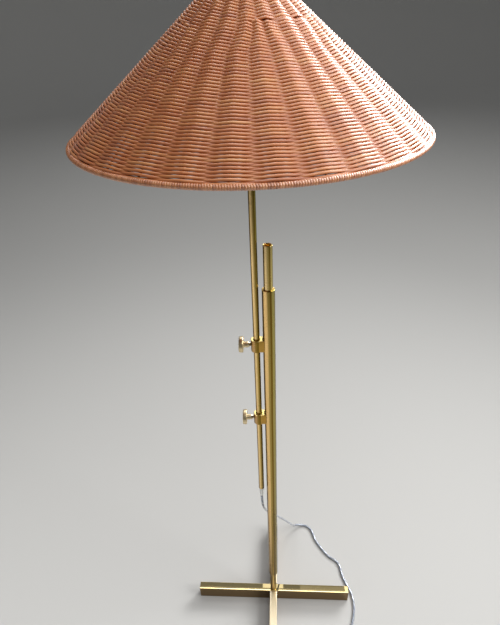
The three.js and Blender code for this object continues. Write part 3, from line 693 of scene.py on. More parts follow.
def coilRoute(lead):
    # winds in on the deck, then out again on top of itself
    cx, cy = lead["coilCentre"]
    turnsIn, low, rise = lead["turnsIn"], lead["lowLayer"], lead["layerRise"]
    turns = turnsIn + lead["turnsOut"]
    firstRadius = lead["coilInnerRadius"] + lead["coilPitch"] * turnsIn
    route = [(cx + firstRadius, cy + lead["coilStart"], low)]
    count = round(turns * lead["pointsPerTurn"])
    for i in range(count + 1):
        turn = -turnsIn + turns * i / count
        radius = lead["coilInnerRadius"] + lead["coilPitch"] * abs(turn)
        angle = -fullTurn * (turn + turnsIn)
        height = low + rise * easeInOut(min(max((turn + 0.25) / 0.5, 0), 1))
        route.append((cx + radius * cos(angle), cy + radius * sin(angle), height))
    return route + [(cx - lead["coilStart"], cy - coilOuterRadius, low + rise)]


def layLead(lead):
    route = [Vector(p) * mm for p in dropRoute + runRoute + coilRoute(lead) + tailRoute]
    line, length = evenly(centripetal(route, 10), lead["spacing"] * mm)
    for spot in line:
        spot.z = max(spot.z, (lead["diameter"] / 2 + 0.02) * mm)
    runs = lengthsAlong(line)
    mesh = drawnOut(line, lead["diameter"] / 2 * mm, lead["sides"])
    layer = mesh.uv_layers.new(name="leadUV").data
    for face in mesh.polygons:
        for corner, i in enumerate(face.loop_indices):
            ring, k = divmod(mesh.loops[i].vertex_index, lead["sides"])
            if k == 0 and corner in (1, 2):  # where the last side meets the first
                k = lead["sides"]
            layer[i].uv = (runs[ring], k / lead["sides"])
    return smoothed(mesh, 60), line, length


leadMesh, leadLine, leadLength = layLead(lead)
mainsLead = placed(
    "mainsLead", leadMesh, clearLead, None, "cord_drop cord_run cord_coil cord_tail",
)
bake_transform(mainsLead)


grip = {
    "bore": 2.6, "tip": 3.5, "root": 4.75, "collar": 5.75, "plug": 4.4,  # radii
    "low": 404, "collarLow": 424.7, "collarTop": 427.7, "top": 437, "rings": 6, "ringPitch": 2.8,
}


def gripOutline(bore, tip, root, collar, plug, low, collarLow, collarTop, top, rings, ringPitch):
    # strain relief in the stem's lower end, with shallow rings round its taper
    heights = [low + 3 + ringPitch * i for i in range(rings)]
    taper = (root - tip) / (collarLow - low)
    steps = ((0, 0), (-0.45, 0.35), (-0.42, 1.1), (0.06, 1.45))
    ringed = ribs([(tip + taper * (at - low), at) for at in heights], steps, 0.2)
    return [(bore, low, 0), (tip, low, 0.5)] + ringed + [
        (root, collarLow, 0.2), (collar, collarLow, 0.5), (collar, collarTop, 0.3),
        (plug, collarTop, 0), (plug, top, 0.4), (bore, top, 0),
    ]


gripMesh = turned(gripOutline(**grip), sides=40)
cordGrip = placed("cordGrip", gripMesh, gripPlastic, "grip", "cord_grip")

plug = {
    "end": 95.7, "y": -178.6, "z": 6.2, "neck": 12, "relief": 8,
    "length": 20, "width": 24, "thickness": 12.4,
    "bladeApart": 6.35, "bladeLong": 18, "bladeHalf": 3.2, "bladeNose": 2.8, "bladeThick": 1.5,
    "bladeHole": (14.0, 1.5),  # its distance along the blade, and its radius
}


def plugShape(size):
    # moulded two-pin plug with finger dents, and a ribbed sleeve over the end of the lead
    bore, neckEnd = 2.78, size["neck"] + 1.4
    starts = [(3.35 + 0.17 * i, -size["relief"] + 1.6 + 3.4 * i) for i in range(5)]
    outline = [(bore, -size["relief"], 0), (3.3, -size["relief"], 0.3)]
    outline += ribs(starts, ((0, 0), (-0.5, 0.4), (-0.45, 1.3), (0.1, 1.7)), 0.15)
    outline += [(4.4, size["neck"] - 1.2, 0.4), (5.6, neckEnd, 0.3), (bore, neckEnd, 0)]
    at = Vector((size["end"], size["y"], size["z"])) * mm
    sleeve = turned(outline, at, (-1, 0, 0), 32)
    made = bmesh.new()
    bmesh.ops.create_cube(made, size=1.0)
    half = Vector((size["length"], size["width"], size["thickness"])) * (mm / 2)
    bmesh.ops.scale(made, verts=made.verts, vec=half * 2)
    bmesh.ops.subdivide_edges(made, edges=made.edges, cuts=7, use_grid_fill=True)
    for vert in made.verts:
        x, y, z = vert.co
        narrow = max(x / half.x, 0) ** 2  # 1 at the lead's end
        dent = max(0, 1 - (x / (0.75 * half.x)) ** 2) * max(0, 1 - (z / (0.85 * half.z)) ** 2)
        onSide = abs(y) > 0.95 * half.y
        vert.co.y = y * (1 - 0.3 * narrow) - copysign(1.2 * mm * dent if onSide else 0, y)
        vert.co.z = z * (1 - 0.16 * narrow)
    bevelSharp(made, 1.6 * mm, 4, 50)
    middle = at - Vector(((size["neck"] + size["length"] / 2) * mm, 0, 0))
    bmesh.ops.translate(made, verts=made.verts, vec=middle)
    made.from_mesh(sleeve)
    bpy.data.meshes.remove(sleeve)
    return smoothed(kept(made), 40)


plugBody = placed("plugBody", plugShape(plug), plugClear, "base", "plug_body")


def bladeShape(sign, size):
    # flat pin with a rounded nose and the hole near its tip
    start = size["end"] - size["neck"] - size["length"] + 1
    y = (size["y"] + sign * size["bladeApart"] - size["bladeThick"] / 2) * mm
    long, half, nose = (size["blade" + part] for part in ("Long", "Half", "Nose"))
    along, hole = size["bladeHole"]
    turns = [fullTurn * i / 12 for i in range(12)]
    outer = [(0, -half), (long - nose, -half), (long, -half / 2)]
    outer += [(x, -y) for x, y in reversed(outer)]
    inner = [(along + hole * cos(turn), hole * sin(turn)) for turn in turns]
    made = bmesh.new()
    edges = []
    for ring in (outer, inner):
        loop = [made.verts.new(((start - x) * mm, y, (size["z"] + z) * mm)) for x, z in ring]
        edges += [made.edges.new(pair) for pair in zip(loop, loop[1:] + loop[:1])]
    filled = bmesh.ops.triangle_fill(made, use_beauty=True, edges=edges)["geom"]
    faces = [one for one in filled if isinstance(one, bmesh.types.BMFace)]
    grown = bmesh.ops.extrude_face_region(made, geom=faces)["geom"]
    ends = [one for one in grown if isinstance(one, bmesh.types.BMVert)]
    bmesh.ops.translate(made, verts=ends, vec=(0, size["bladeThick"] * mm, 0))
    return bevelled(kept(made), 0.22 * mm, 2, 60)


brassPin = turnedBrass("brassPin", (0.0, 0.0, 0.0), "y", "pale", "paleDeep")
for side, sign in (("Left", -1), ("Right", 1)):
    stands = "plug_blade_" + side.lower()
    mesh = bladeShape(sign, plug)
    placed("plugBlade" + side, mesh, brassPin, "base", stands)

strapGap = lead["diameter"] / 2 + 0.6
strap = {
    "width": 7.0, "thickness": 1.0, "bend": 2.6, "bottom": 1.0, "top": 13.1,
    "low": lead["coilInnerRadius"] - strapGap, "high": coilOuterRadius + strapGap,
    "lapThickness": 0.7, "around": 135,  # degrees from +X
}


def strapShape(size, lead):
    # a flat strap round all the turns, with its end laid back over itself
    out = radians(size["around"])
    along = Vector((cos(out), sin(out), 0))
    side = Vector((-sin(out), cos(out), 0))
    centre = Vector((*lead["coilCentre"], 0)) * mm
    low, high, bottom, top = (size[part] for part in ("low", "high", "bottom", "top"))
    corners = ((low, bottom), (high, bottom), (high, top), (low, top))
    loop = eased([(*corner, size["bend"]) for corner in corners], True, 6)

    def band(path, closed, inner, outer, half):
        points = []
        count = len(path)
        for i, spot in enumerate(path):
            ahead = Vector(path[(i + 1) % count] if closed or i < count - 1 else spot)
            back = Vector(path[i - 1] if closed or i else spot)
            way = (ahead - back).normalized()
            outwards = Vector((way.y, -way.x))
            for off, w in ((inner, -half), (outer, -half), (outer, half), (inner, half)):
                x, z = Vector(spot) + outwards * off
                points.append(centre + along * (x * mm) + side * (w * mm) + Vector((0, 0, z * mm)))
        faces = [(a, d, c, b) for a, b, c, d in strips(count, 4, closed)]
        if not closed:
            faces += [(0, 1, 2, 3), tuple((count - 1) * 4 + k for k in (3, 2, 1, 0))]
        return points, faces

    half, thick = size["width"] / 2, size["thickness"]
    lapPath, lapInner = [(high - 4 - 1.6 * i, top) for i in range(9)], thick + 0.02
    points, faces = band(loop, True, 0.0, thick, half)
    lap, lapFaces = band(lapPath, False, lapInner, lapInner + size["lapThickness"], half - 0.3)
    faces += [tuple(len(points) + i for i in face) for face in lapFaces]
    return bevelled(meshFrom(points + lap, faces), 0.18 * mm, 2, 50)


strapMesh = strapShape(strap, lead)
coilStrap = placed("coilStrap", strapMesh, blackPlastic, "base", "cord_tie")

print("lead laid:", round(leadLength, 3), "m")


bars = {"reach": 191, "width": 18.4, "height": 35.5, "ease": 1.0, "lapGap": 0.3}


def barShape(alongX, reach, width, height, ease, lapGap):
    # a bar on edge with its half of the cross-lap cut out, from below in the bar along X
    half, lap, middle = width / 2, width / 2 + lapGap, height / 2
    side = [(-reach, 0), (-lap, 0), (-lap, middle), (lap, middle), (lap, 0), (reach, 0)]
    side += [(reach, height), (-reach, height)]
    if not alongX:
        side = [(a, height - z) for a, z in reversed(side)]
    count = len(side)
    spots = [(a, sign * half, z) for sign in (-1, 1) for a, z in side]
    points = [Vector((a, b, z) if alongX else (b, a, z)) * mm for a, b, z in spots]
    faces = [tuple(range(count)), tuple(reversed(range(count, 2 * count)))]
    faces += [(i, (i + 1) % count, count + (i + 1) % count, count + i) for i in range(count)]
    return bevelled(meshFrom(points, faces), ease * mm, 4, 40)


placed("longBar", barShape(True, **bars), brassLong, "base", "base_bar_long")
placed("crossBar", barShape(False, **bars), brassCross, "base", "base_bar_cross")
print("base crossed")


spine = {"outer": 15.6, "wall": 1.2, "bottom": bars["height"], "top": 998}
sleeve = {"outer": 22, "wall": 1.6, "low": 108, "high": 920, "lip": spine["outer"] / 2 + 0.12}
stemTube = {"outer": 11.5, "wall": 1.0, "bottom": 428, "top": 1186, "ease": 0.35}


def pipe(outer, wall, bottom, top, ease=0.45):
    inner, outer = outer / 2 - wall, outer / 2
    return [(outer, bottom, ease), (outer, top, ease), (inner, top, ease), (inner, bottom, ease)]


def sleeveOutline(outer, wall, low, high, lip):
    # a thin wall whose ends are drawn in to lips round the spine
    inside = outer / 2 - wall
    return [
        (outer / 2, low, 0.6), (outer / 2, high, 1.1), (lip, high - 0.5, 0.3),
        (lip, high - 2.2, 0.2), (inside, high - 3.0, 0.3), (inside, low + 3.0, 0.3),
        (lip, low + 2.2, 0.2), (lip, low + 0.5, 0.3),
    ]


slimPost = turned(pipe(**spine), (0, 0, 0), sides=72)
placed("slimPost", slimPost, brassSpine, "base", "spine_tube")
postSleeve = turned(sleeveOutline(**sleeve), (0, 0, 0), sides=80)
placed("postSleeve", postSleeve, brassPost, "base", "sleeve_tube")
coloured(brassPost, "sleeve_spacer_lower sleeve_spacer_upper spine_foot_plug")
coloured(plainSteel, "base_stud")
print("post up")


clampTops = {"upper": 820, "lower": 647}
clamp = {
    "collar": 10.2, "bore": 6.15, "height": 23.6, "halfSaddle": 8, "seat": 11.3,
    "reach": 22, "ease": 0.7, "mouth": 0.5,
}
screw = {
    "tip": 7.25, "root": 2.1, "thread": 2.5, "pitch": 0.8, "face": 10.5, "taper": 5.4,
    "neck": 5.3, "head": 14.5, "headAt": 23.5, "headEnd": 31.1,
}


def clampReach(turn, collar, halfSaddle, seat, reach):
    # distance from the stem's axis to the clamp's outside; the saddle points to +X
    x, y = cos(turn), sin(turn)
    edge = halfSaddle / max(abs(y), 1e-6)
    if x <= 0 or edge * x >= reach:
        return collar
    back = reach * x
    inside = back * back - reach**2 + seat**2
    return max(collar, min(edge, back - sqrt(inside) if inside > 0 else 1e6))


def clampShape(top, bore, height, ease, mouth, **outside):
    half, collar, seat, reach = (outside[k] for k in ("halfSaddle", "collar", "seat", "reach"))
    sides = 120
    turns = [fullTurn * i / sides for i in range(sides)]
    seatCorner = atan2(half, reach - sqrt(seat**2 - half**2))
    collarCorner = asin(half / collar)
    for corner in (seatCorner, fullTurn - seatCorner, collarCorner, fullTurn - collarCorner):
        # moves the nearest line onto each corner of the saddle
        nearest = min(range(sides), key=lambda i: abs(turns[i] - corner))
        turns[nearest] = corner
    points = []
    for turn in turns:
        wall = clampReach(turn, **outside)
        profile = eased([
            (bore + mouth, 0, 0.25), (wall - 0.02, 0, ease), (wall, height, ease),
            (bore + mouth, height, 0.25), (bore, height - mouth, 0.2), (bore, mouth, 0.2),
        ])
        points += [stemSpot(radius, turn, top - height + along) for radius, along in profile]
    return meshFrom(points, strips(sides, len(profile)), 32)


def screwOutline(tip, root, thread, pitch, face, taper, neck, head, headAt, headEnd):
    # threaded tip, tapered neck and large disc head
    outline = [(0, tip, 0), (root, tip, 0.2)]
    at = tip + 0.2
    while at < face - 0.4:
        outline += [(thread, at + 0.25, 0.08), (thread, at + 0.35, 0.08), (root, at + 0.65, 0.08)]
        at += pitch
    return outline + [
        (thread, face, 0.2), (neck, face + taper, 0.9), (neck, headAt, 0.5),
        (head - 0.3, headAt, 1.5), (head, (headAt + headEnd) / 2, 2.2), (head - 0.3, headEnd, 1.5),
        (3.2, headEnd, 0.3), (2.6, headEnd - 0.25, 0.2), (0, headEnd - 0.3, 0),
    ]


shoe = {"radius": 2.5, "start": 6.05, "end": screw["tip"], "ease": 0.25}


def shoeOutline(radius, start, end, ease):
    return [(0, start, 0), (radius, start, ease), (radius, end, ease), (0, end, 0)]


for at, top in clampTops.items():
    middle = top - clamp["height"] / 2
    centre = (stemX, 0, middle * mm)
    # the thumbscrews take the paler brass, a painted reflection of bright light on their heads
    finish = turnedBrass(at + "ScrewBrass", (0.0, 0.0, middle * mm), "x", "pale", "paleDeep", 0.14)
    thumb = turned(screwOutline(**screw), centre, (-1, 0, 0), 72, closed=False, steps=4)
    disc = turned(shoeOutline(**shoe), centre, (-1, 0, 0), 32, closed=False)
    placed(at + "Clamp", clampShape(top, **clamp), brassCast, "base", at + "_clamp")
    placed(at + "Thumbscrew", thumb, finish, at + "_screw", at + "_thumbscrew")
    placed(at + "Shoe", disc, finish, at + "_shoe", at + "_clamp_shoe")
print("clamps fitted")


placed("stem", turned(pipe(**stemTube)), brassStem, "stem", "stem_tube")
coloured(brassHolder, "stem_nipple holder_thread_contact holder_centre_contact")
coloured(plugClear, "stem_lead")
coloured(fibreBoard, "holder_liner")
coloured(blackPlastic, "holder_core")
coloured(whitePlastic, "bulb_led_column")
coloured(plainSteel, "rim_hoop switch_shaft")

holder = {
    "cap": [
        (4.75, 1186.3, 0.2), (7, 1186.3, 0.5), (7, 1193.3, 2.0), (16.3, 1200.1, 2.5),
        (17.4, 1202.3, 0.8), (17.4, 1208.6, 0.3), (17.4, 1209.1, 0.3), (17.4, 1209.9, 0.3),
        (17.4, 1210.3, 0.2), (16.3, 1210.3, 0.3), (16.3, 1202.3, 0.8), (7, 1194.4, 1.0),
        (4.75, 1194.4, 0.2),
    ],
    "shell": [
        (15.2, 1202.6, 0.2), (16, 1202.6, 0.2), (16, 1233.3, 0.4), (18.5, 1233.3, 0.4),
        (18.5, 1234.9, 0.4), (16, 1234.9, 0.3), (16, 1242.6, 0.25), (15.2, 1242.6, 0.25),
    ],
    "nut": [
        (16.3, 1237.3, 0.3), (19.7, 1237.3, 0.4), (20.5, 1238.2, 0.4), (20.5, 1241.5, 0.4),
        (19.7, 1242.3, 0.4), (16.3, 1242.3, 0.3),
    ],
    "notches": 24, "notchDepth": 0.45,
}


def gripped(turn):
    # shallow grip notches round the nut's rim
    notch = holder["notchDepth"] * max(0.0, cos(holder["notches"] * turn)) ** 2
    return [(r - notch if r > 18 else r, z, e) for r, z, e in holder["nut"]]


knob = {"bore": 2.3, "half": 3.75, "flange": 7.5, "back": 19.4, "flangeEnd": 22.3, "end": 30.4}


def knobOutline(turn):
    # a round flange with a flat-sided grip on it
    bore, half, flange, back, flangeEnd, end = knob.values()
    flat = min(flange - 0.04, half / max(abs(cos(turn)), 1e-6))
    return [
        (bore, back + 0.2, 0), (half, back, 0.3), (flange, flangeEnd - 0.15, 0.5),
        (flat, flangeEnd, 0.15), (flat, end - 1, 0.5), (flat - 0.9, end, 0.4), (bore, end, 0.2),
    ]


for name, outline, sides, stands in (
    ("holderCap", holder["cap"], 72, "holder_cap"),
    ("holderShell", holder["shell"], 72, "holder_shell"),
    ("ringNut", gripped, 192, "shade_ring_nut"),
):
    placed(name, turned(outline, sides=sides), brassHolder, "stem", stands)
knobMesh = turned(knobOutline, (stemX, 0, switchHeight * mm), (1, 0, 0), 96)
placed("switchKnob", knobMesh, brassKnob, "switch", "switch_knob")

carrier = {
    "ring": [(16.3, 1235.2, 0.3), (21.5, 1235.2, 0.4), (21.5, 1237, 0.4), (16.3, 1237, 0.3)],
    "arms": 3, "armWire": 1.6, "hoopRadius": 40.5, "hoopHeight": 1334, "hoopWire": 2.0,
    "armRoute": [(19.9, 1234.5), (27.1, 1234.5), (32.7, 1236.1), (35.1, 1240.9), (40.5, 1318)],
}


def carrierShape(ring, arms, armWire, armRoute, hoopRadius, hoopHeight, hoopWire):
    # a ring, bent wires up from it and a hoop that they end on
    parts = [turned(ring)]
    for i in range(arms):
        turn = fullTurn * (i + 0.5) / arms
        route = [stemSpot(r, turn, z) for r, z in (*armRoute, (hoopRadius, hoopHeight))]
        line, length = evenly(centripetal(route, 12), 2.2 * mm)
        parts.append(drawnOut(line, armWire * mm, 16))
    loop = [stemSpot(hoopRadius, fullTurn * i / 96, hoopHeight) for i in range(97)]
    parts.append(drawnOut(loop, hoopWire * mm, 12))
    return smoothed(kept(opened(*parts)), 40)


placed("shadeCarrier", carrierShape(**carrier), brassWire, "stem", "shade_carrier")

bulb = {"radius": 30.0, "neck": 13.0, "bottom": 1243.0, "height": 80.0}
bulbCap = {"radius": 12.7, "bottom": 1222.0, "threads": 4, "pitch": 3.4}


def bulbOutline(radius, neck, bottom, height):
    crown = bottom + height - radius
    outline = [(0, bottom + 1, 0), (neck - 1, bottom + 0.4, 0), (neck, bottom, 0)]
    for share in (i / 24 for i in range(1, 25)):
        swell = (radius - neck) * easeInOut(share)
        outline.append((neck + swell, bottom + (crown - bottom) * (1 + 5 * share) / 6, 0))
    for i in range(1, 17):
        angle = pi / 2 * i / 16
        across = radius * cos(angle) if i < 16 else 0
        outline.append((across, crown + radius * sin(angle), 0))
    return outline


def bulbCapOutline(radius, bottom, threads, pitch):
    starts = [(radius, bottom + 6 + pitch * i) for i in range(threads)]
    outline = [(0, bottom, 0), (4.2, bottom, 0.4), (6.4, bottom + 2.6, 0.5)]
    outline += [(11.8, bottom + 5.2, 0.6)] + ribs(starts, ((0, 0.6), (-0.9, 2.3)), 0.8)
    return outline + [(radius, 1242.0, 0.3), (radius, 1242.7, 0.2), (0, 1242.7, 0)]


glass = turned(bulbOutline(**bulb), closed=False, angle=50)
cap = turned(bulbCapOutline(**bulbCap), sides=48, closed=False)
placed("bulbGlass", glass, opalGlass, "stem", "bulb_glass")
placed("bulbCap", cap, plainSteel, "stem", "bulb_cap")
print("holder, carrier and bulb in")


# sizes of the shade are the inputs of its trees, in metres
cone = {
    "Centre X": stemX, "Rim Radius": 0.2386, "Rim Height": 1.1674,
    "First Stake": radians(4),  # from +X
    "Settle": 0.046,  # stakes part over this much slope below the place where every fifth ends
}
weave = {
    "Pitch": 0.0044,  # of one weaver; the other runs half way between
    "Thickness": 0.0027, "Breadth": 0.00365,  # through the wall, and up the slope
    "Swing": 0.0026, "Crispness": 0.988,  # how sharply a weaver folds, to 1
    "Start": -0.0004, "Finish": 0.2564,  # up the slope
    "Hug": 0.0065,  # over this much of it at each end weavers lie close, inside the wrapping
    "Points Per Stake": 6.0, "Gather": 1.6,  # more than 1 draws the points towards the stakes
    "Drift": 0.0009, "Sway": 0.00025,
}
stakeSizes = {"Stakes": 30, "Steps": 44, "Thickness": 0.0028, "Bottom": 0.003, "Top": 0.2555}
rimStrip = {
    "Radius": cone["Rim Radius"], "Height": cone["Rim Height"], "Turns": 536, "Outside": 0.0068,
    "Strip Width": 0.0038, "Strip Thickness": 0.0008, "Lean": radians(10.4),
    "Core": 0.0056, "Seed": 3,
}
topStrip = {
    "Radius": 0.0405, "Height": 1.334, "Turns": 76, "Outside": 0.0066, "Core": 0.0054, "Seed": 8,
}
stakesBelow, stakesAbove, changeShare = 30.0, 24.0, 0.78  # of the slope, below the change
aboveStakes = (0.0, 15.0, 30.0, 37.5, 45.0, 60.0)  # degrees in each sixth, above the change
belowStakes = (0.0, 12.0, 24.0, 36.0, 48.0, 60.0)
slope = Vector((topStrip["Radius"] - rimStrip["Radius"], topStrip["Height"] - rimStrip["Height"]))
upSlope = slope.normalized()
cone.update({"Slope In": upSlope.x, "Slope Up": upSlope.y, "Change At": slope.length * changeShare})


def circle(s, count, radius):
    given = {"Resolution": count, "Radius": radius}
    return s.geometry("CurvePrimitiveCircle", given, mode="RADIUS")


def swept(s, curve, profile, caps=True):
    given = {"Curve": curve, "Profile Curve": profile, "Fill Caps": caps}
    return s.geometry("CurveToMesh", given)


def named(s, geometry, name, value, domain="POINT"):
    given = {"Geometry": geometry, "Name": name, "Value": value}
    return s.geometry("StoreNamedAttribute", given, data_type="FLOAT", domain=domain)


def caneNamed(s, geometry, tone, depth, run):
    for name, value in (("caneTone", tone), ("caneDepth", depth), ("caneRun", run)):
        geometry = named(s, geometry, name, value)
    return geometry


def closeTree(tree, s, geometry, material, leave):
    addSocket(tree, "Geometry", "OUTPUT", "Geometry")
    smooth = s.geometry("SetShadeSmooth", (s.geometry("RealizeInstances", (geometry,)),))
    coated = s.geometry("SetMaterial", {"Geometry": smooth, "Material": material})
    s.put(coated, leave.inputs[0])
    return tree


def grown(name, tree, sizes, stands, slot):
    # runs a tree once and keeps its result as a plain mesh
    seed = linked(name + "Seed", bpy.data.meshes.new(name + "Seed"))
    modifier = seed.modifiers.new(name, "NODES")
    modifier.node_group = tree
    for item in tree.interface.items_tree:
        if item.in_out == "INPUT" and item.name in sizes:
            modifier[item.identifier] = sizes[item.name]
    bpy.context.view_layer.update()
    shown = seed.evaluated_get(bpy.context.evaluated_depsgraph_get())
    mesh = bpy.data.meshes.new_from_object(shown)
    seed.modifiers.clear()
    bpy.data.objects.remove(seed)
    print(" ", name, len(mesh.vertices), "points")
    return placed(name, mesh, None, "stem", stands)


def onCone(s, along, off, angle, given):
    # a point of the wall: along up the slope, off it, and round the stem's axis
    across, up = given["Slope In"], given["Slope Up"]
    radius = given["Rim Radius"] + along * across + off * up
    height = given["Rim Height"] + along * up + off * (across * -1.0)
    return s.spot(radius, angle, height, given["Centre X"])


def settledAt(s, along, given):
    # 0 at the change of stakes, 1 where they stand apart as at the rim
    change = given["Change At"]
    return s.ramped(along, change, change - given["Settle"], smooth=True)


def weaverTree(material, sizes):
    # one round weaver that climbs as a spiral and passes outside and inside the stakes in turn
    tree, s, given, leave = newGroup("GeometryNodeTree", "weaver", {**cone, **sizes})
    side, start, pitch, change = (given[part] for part in ("Side", "Start", "Pitch", "Change Turn"))
    stakes = s.geometry("InputIndex") / given["Points Per Stake"]
    nearest = s.sum("FLOOR", stakes + 0.5)
    beside = (stakes - nearest) * 2.0
    gathered = s.sum("POWER", s.sum("ABSOLUTE", beside), given["Gather"])
    bend = s.sum("SIGN", beside) * gathered * 0.5
    count = nearest + bend  # stakes passed; the points lie closest where it folds over one
    past = count - change * stakesBelow
    isHigh = s.sum("GREATER_THAN", past, -0.0001)
    highTurn = change + past / stakesAbove
    rough = mixed(count / stakesBelow, highTurn, isHigh)
    settled = settledAt(s, start + (rough + side * 0.5) * pitch, given)
    places = [mixed(a, b, settled) for a, b in zip(aboveStakes, belowStakes)]
    sixth = s.sum("FLOOR", count / 5.0)
    within = count - sixth * 5.0
    gaps = zip(range(5), places, places[1:])
    passedBy = sum((q - p) * s.ramped(within, float(i), i + 1.0) for i, p, q in gaps)
    lowTurn = (sixth + passedBy / 60.0) / 6.0
    turn = mixed(lowTurn, highTurn, isHigh)
    angle = turn * fullTurn + given["First Stake"]
    straight = start + (turn + side * 0.5) * pitch
    crisp = given["Crispness"]
    wave = s.sum("ARCSINE", s.sum("COSINE", (count + side) * pi) * crisp)
    wave = wave / s.sum("ARCSINE", crisp)
    drift = (s.noise(s.spot(2.2, angle, turn * 0.33), 1.0, 1.0) - 0.5) * given["Drift"]
    sway = (s.noise(s.spot(9.0, angle, turn * 1.7), 1.0, 1.0) - 0.5) * given["Sway"]
    fromStart = s.ramped(straight - start, 0.0, given["Hug"], (0.15, 1.0))
    fromEnd = s.ramped(given["Finish"] - straight, 0.0, given["Hug"], (0.15, 1.0))
    calm = s.ramped(s.sum("ABSOLUTE", turn - change), 0.0, 1.3, (0.15, 1.0))
    # inside, the folds are shallow where the rows change step
    swung = s.sum("MAXIMUM", wave, 0.0) + s.sum("MINIMUM", wave, 0.0) * calm
    off = swung * given["Swing"] * fromStart * fromEnd + sway
    place = onCone(s, straight + drift + sway * 0.6, off, angle, given)
    line = s.geometry("MeshLine", {"Count": given["Points"]}, mode="OFFSET", count_mode="TOTAL")
    moved = s.geometry("SetPosition", {"Geometry": line, "Position": place})
    toneSpot = s.spot(1.6, angle, turn * 2.9 + side * 71.0)
    tone = s.ramped(s.noise(toneSpot, 1.0, 2.0, 0.6), 0.28, 0.72)
    # how far the weaver lies inside; the cane finish paints shade by it
    depth = s.ramped(swung, 0.55, -0.7, smooth=True)
    curve = s.geometry("MeshToCurve", (caneNamed(s, moved, tone, depth, angle * 0.15),))
    level = s.geometry("SetCurveNormal", (curve,), mode="Z_UP")
    breadths = s.vector(given["Thickness"], given["Breadth"], 1.0)
    pressed = s.geometry("Transform", {"Geometry": circle(s, 8, 0.5), "Scale": breadths})
    lean = s.vector(0.0, 0.0, given["Lean"])
    leaned = s.geometry("Transform", {"Geometry": pressed, "Rotation": lean})
    return closeTree(tree, s, swept(s, level, leaned), material, leave)


def stakeTree(material, sizes):
    # the stakes: four in each sixth run the whole slope, and the fifth ends at the change
    tree, s, given, leave = newGroup("GeometryNodeTree", "stakes", {**cone, **sizes})
    line = s.geometry("CurvePrimitiveLine")
    stepped = s.geometry("ResampleCurve", {"Curve": line, "Count": given["Steps"]})
    many = {"Geometry": stepped, "Amount": given["Stakes"]}
    copies = s.geometry("DuplicateElements", many, out=None, domain="SPLINE")
    copy = copies["Duplicate Index"]
    share = s.geometry("SplineParameter", out="Factor")
    sixth = s.sum("FLOOR", (copy + 0.01) / 5.0)
    which = copy - sixth * 5.0
    isShort = s.sum("COMPARE", which, 3.0, 0.5)
    top = mixed(given["Top"], given["Change At"] + 0.007, isShort)
    along = mixed(given["Bottom"], top, share)
    crowded = s.ramped(which, 2.0, 3.0) * -7.5 + s.ramped(which, 3.0, 4.0) * -7.5
    spread = mixed(which * 15.0 + crowded, which * 12.0, settledAt(s, along, given))
    angle = (sixth * 60.0 + spread) * (pi / 180) + given["First Stake"]
    place = onCone(s, along, 0.0, angle, given)
    moved = s.geometry("SetPosition", {"Geometry": copies["Geometry"], "Position": place})
    tone = s.ramped(s.noise(s.vector(copy * 7.3, along * 9.0, 0.0), 1.0, 1.0), 0.3, 0.7)
    geometry = caneNamed(s, moved, tone, 0.0, along)
    tube = swept(s, geometry, circle(s, 8, given["Thickness"] * 0.5))
    return closeTree(tree, s, tube, material, leave)


def windingTree(material, sizes):
    # a flat cane strip wound round a hoop, turn beside turn, over a padded core
    tree, s, given, leave = newGroup("GeometryNodeTree", "winding", sizes)
    hoop = circle(s, given["Turns"], given["Radius"])
    halfThick = given["Strip Thickness"] * 0.5
    ring = circle(s, 14, given["Outside"] * 0.5 - halfThick)
    breadths = s.vector(halfThick, given["Strip Width"] * 0.5, 1.0)
    flat = s.geometry("Transform", {"Geometry": circle(s, 6, 1.0), "Scale": breadths})
    strip = swept(s, ring, flat, False)
    tangent = s.geometry("InputTangent")
    facing = s.node("FunctionNodeAlignRotationToVector", {"Vector": tangent}, axis="Z")
    chance = s.chance({2: -1.0, 3: 1.0, "Seed": given["Seed"]})
    leaning = {"Axis": s.geometry("InputPosition"), "Angle": given["Lean"] * (chance * 0.25 + 1.0)}
    lean = s.node("FunctionNodeAxisAngleToRotation", leaning)
    both = {"Rotation": facing, "Rotate By": lean}
    tilted = s.node("FunctionNodeRotateRotation", both, rotation_space="GLOBAL")
    size = chance * 0.018 + 0.99
    wound = s.geometry("InstanceOnPoints", {
        "Points": hoop, "Instance": strip, "Rotation": tilted, "Scale": s.vector(size, size, 1.0),
    })
    wound = named(s, wound, "caneTone", s.chance({"Seed": given["Seed"] + 5.0}), "INSTANCE")
    core = swept(s, hoop, circle(s, 10, given["Core"] * 0.5), False)
    joined = s.geometry("JoinGeometry", (wound,))
    s.put(named(s, core, "caneTone", 0.0), joined.socket.node.inputs[0])
    place = s.vector(given["Centre X"], 0.0, given["Height"])
    lifted = s.geometry("Transform", {"Geometry": joined, "Translation": place})
    return closeTree(tree, s, lifted, material, leave)


turnsUp = (weave["Finish"] - weave["Start"]) / weave["Pitch"]
changeTurn = ceil((cone["Change At"] - weave["Start"]) / weave["Pitch"])
lean = atan2(upSlope.x, upSlope.y)
turnSizes = {"Points": 1, "Side": 0.0, "Change Turn": float(changeTurn), "Lean": lean}
weaver = weaverTree(weaverCane, {**weave, **turnSizes})
for name, side in (("firstWeaver", 0.0), ("secondWeaver", 1.0)):
    passed = stakesBelow * changeTurn + stakesAbove * (turnsUp - 0.5 * side - changeTurn)
    sizes = {"Points": round(passed * weave["Points Per Stake"]), "Side": side}
    grown(name, weaver, sizes, "shade_weave", "rattan")
grown("stakes", stakeTree(stakeCane, stakeSizes), {}, "shade_weave", "rattan")
winding = windingTree(rimCane, {"Centre X": stemX, **rimStrip})
grown("rimWinding", winding, {}, "rim_wrapping", "cane")
grown("topWinding", winding, topStrip, "top_wrapping", "cane")
print("shade woven")


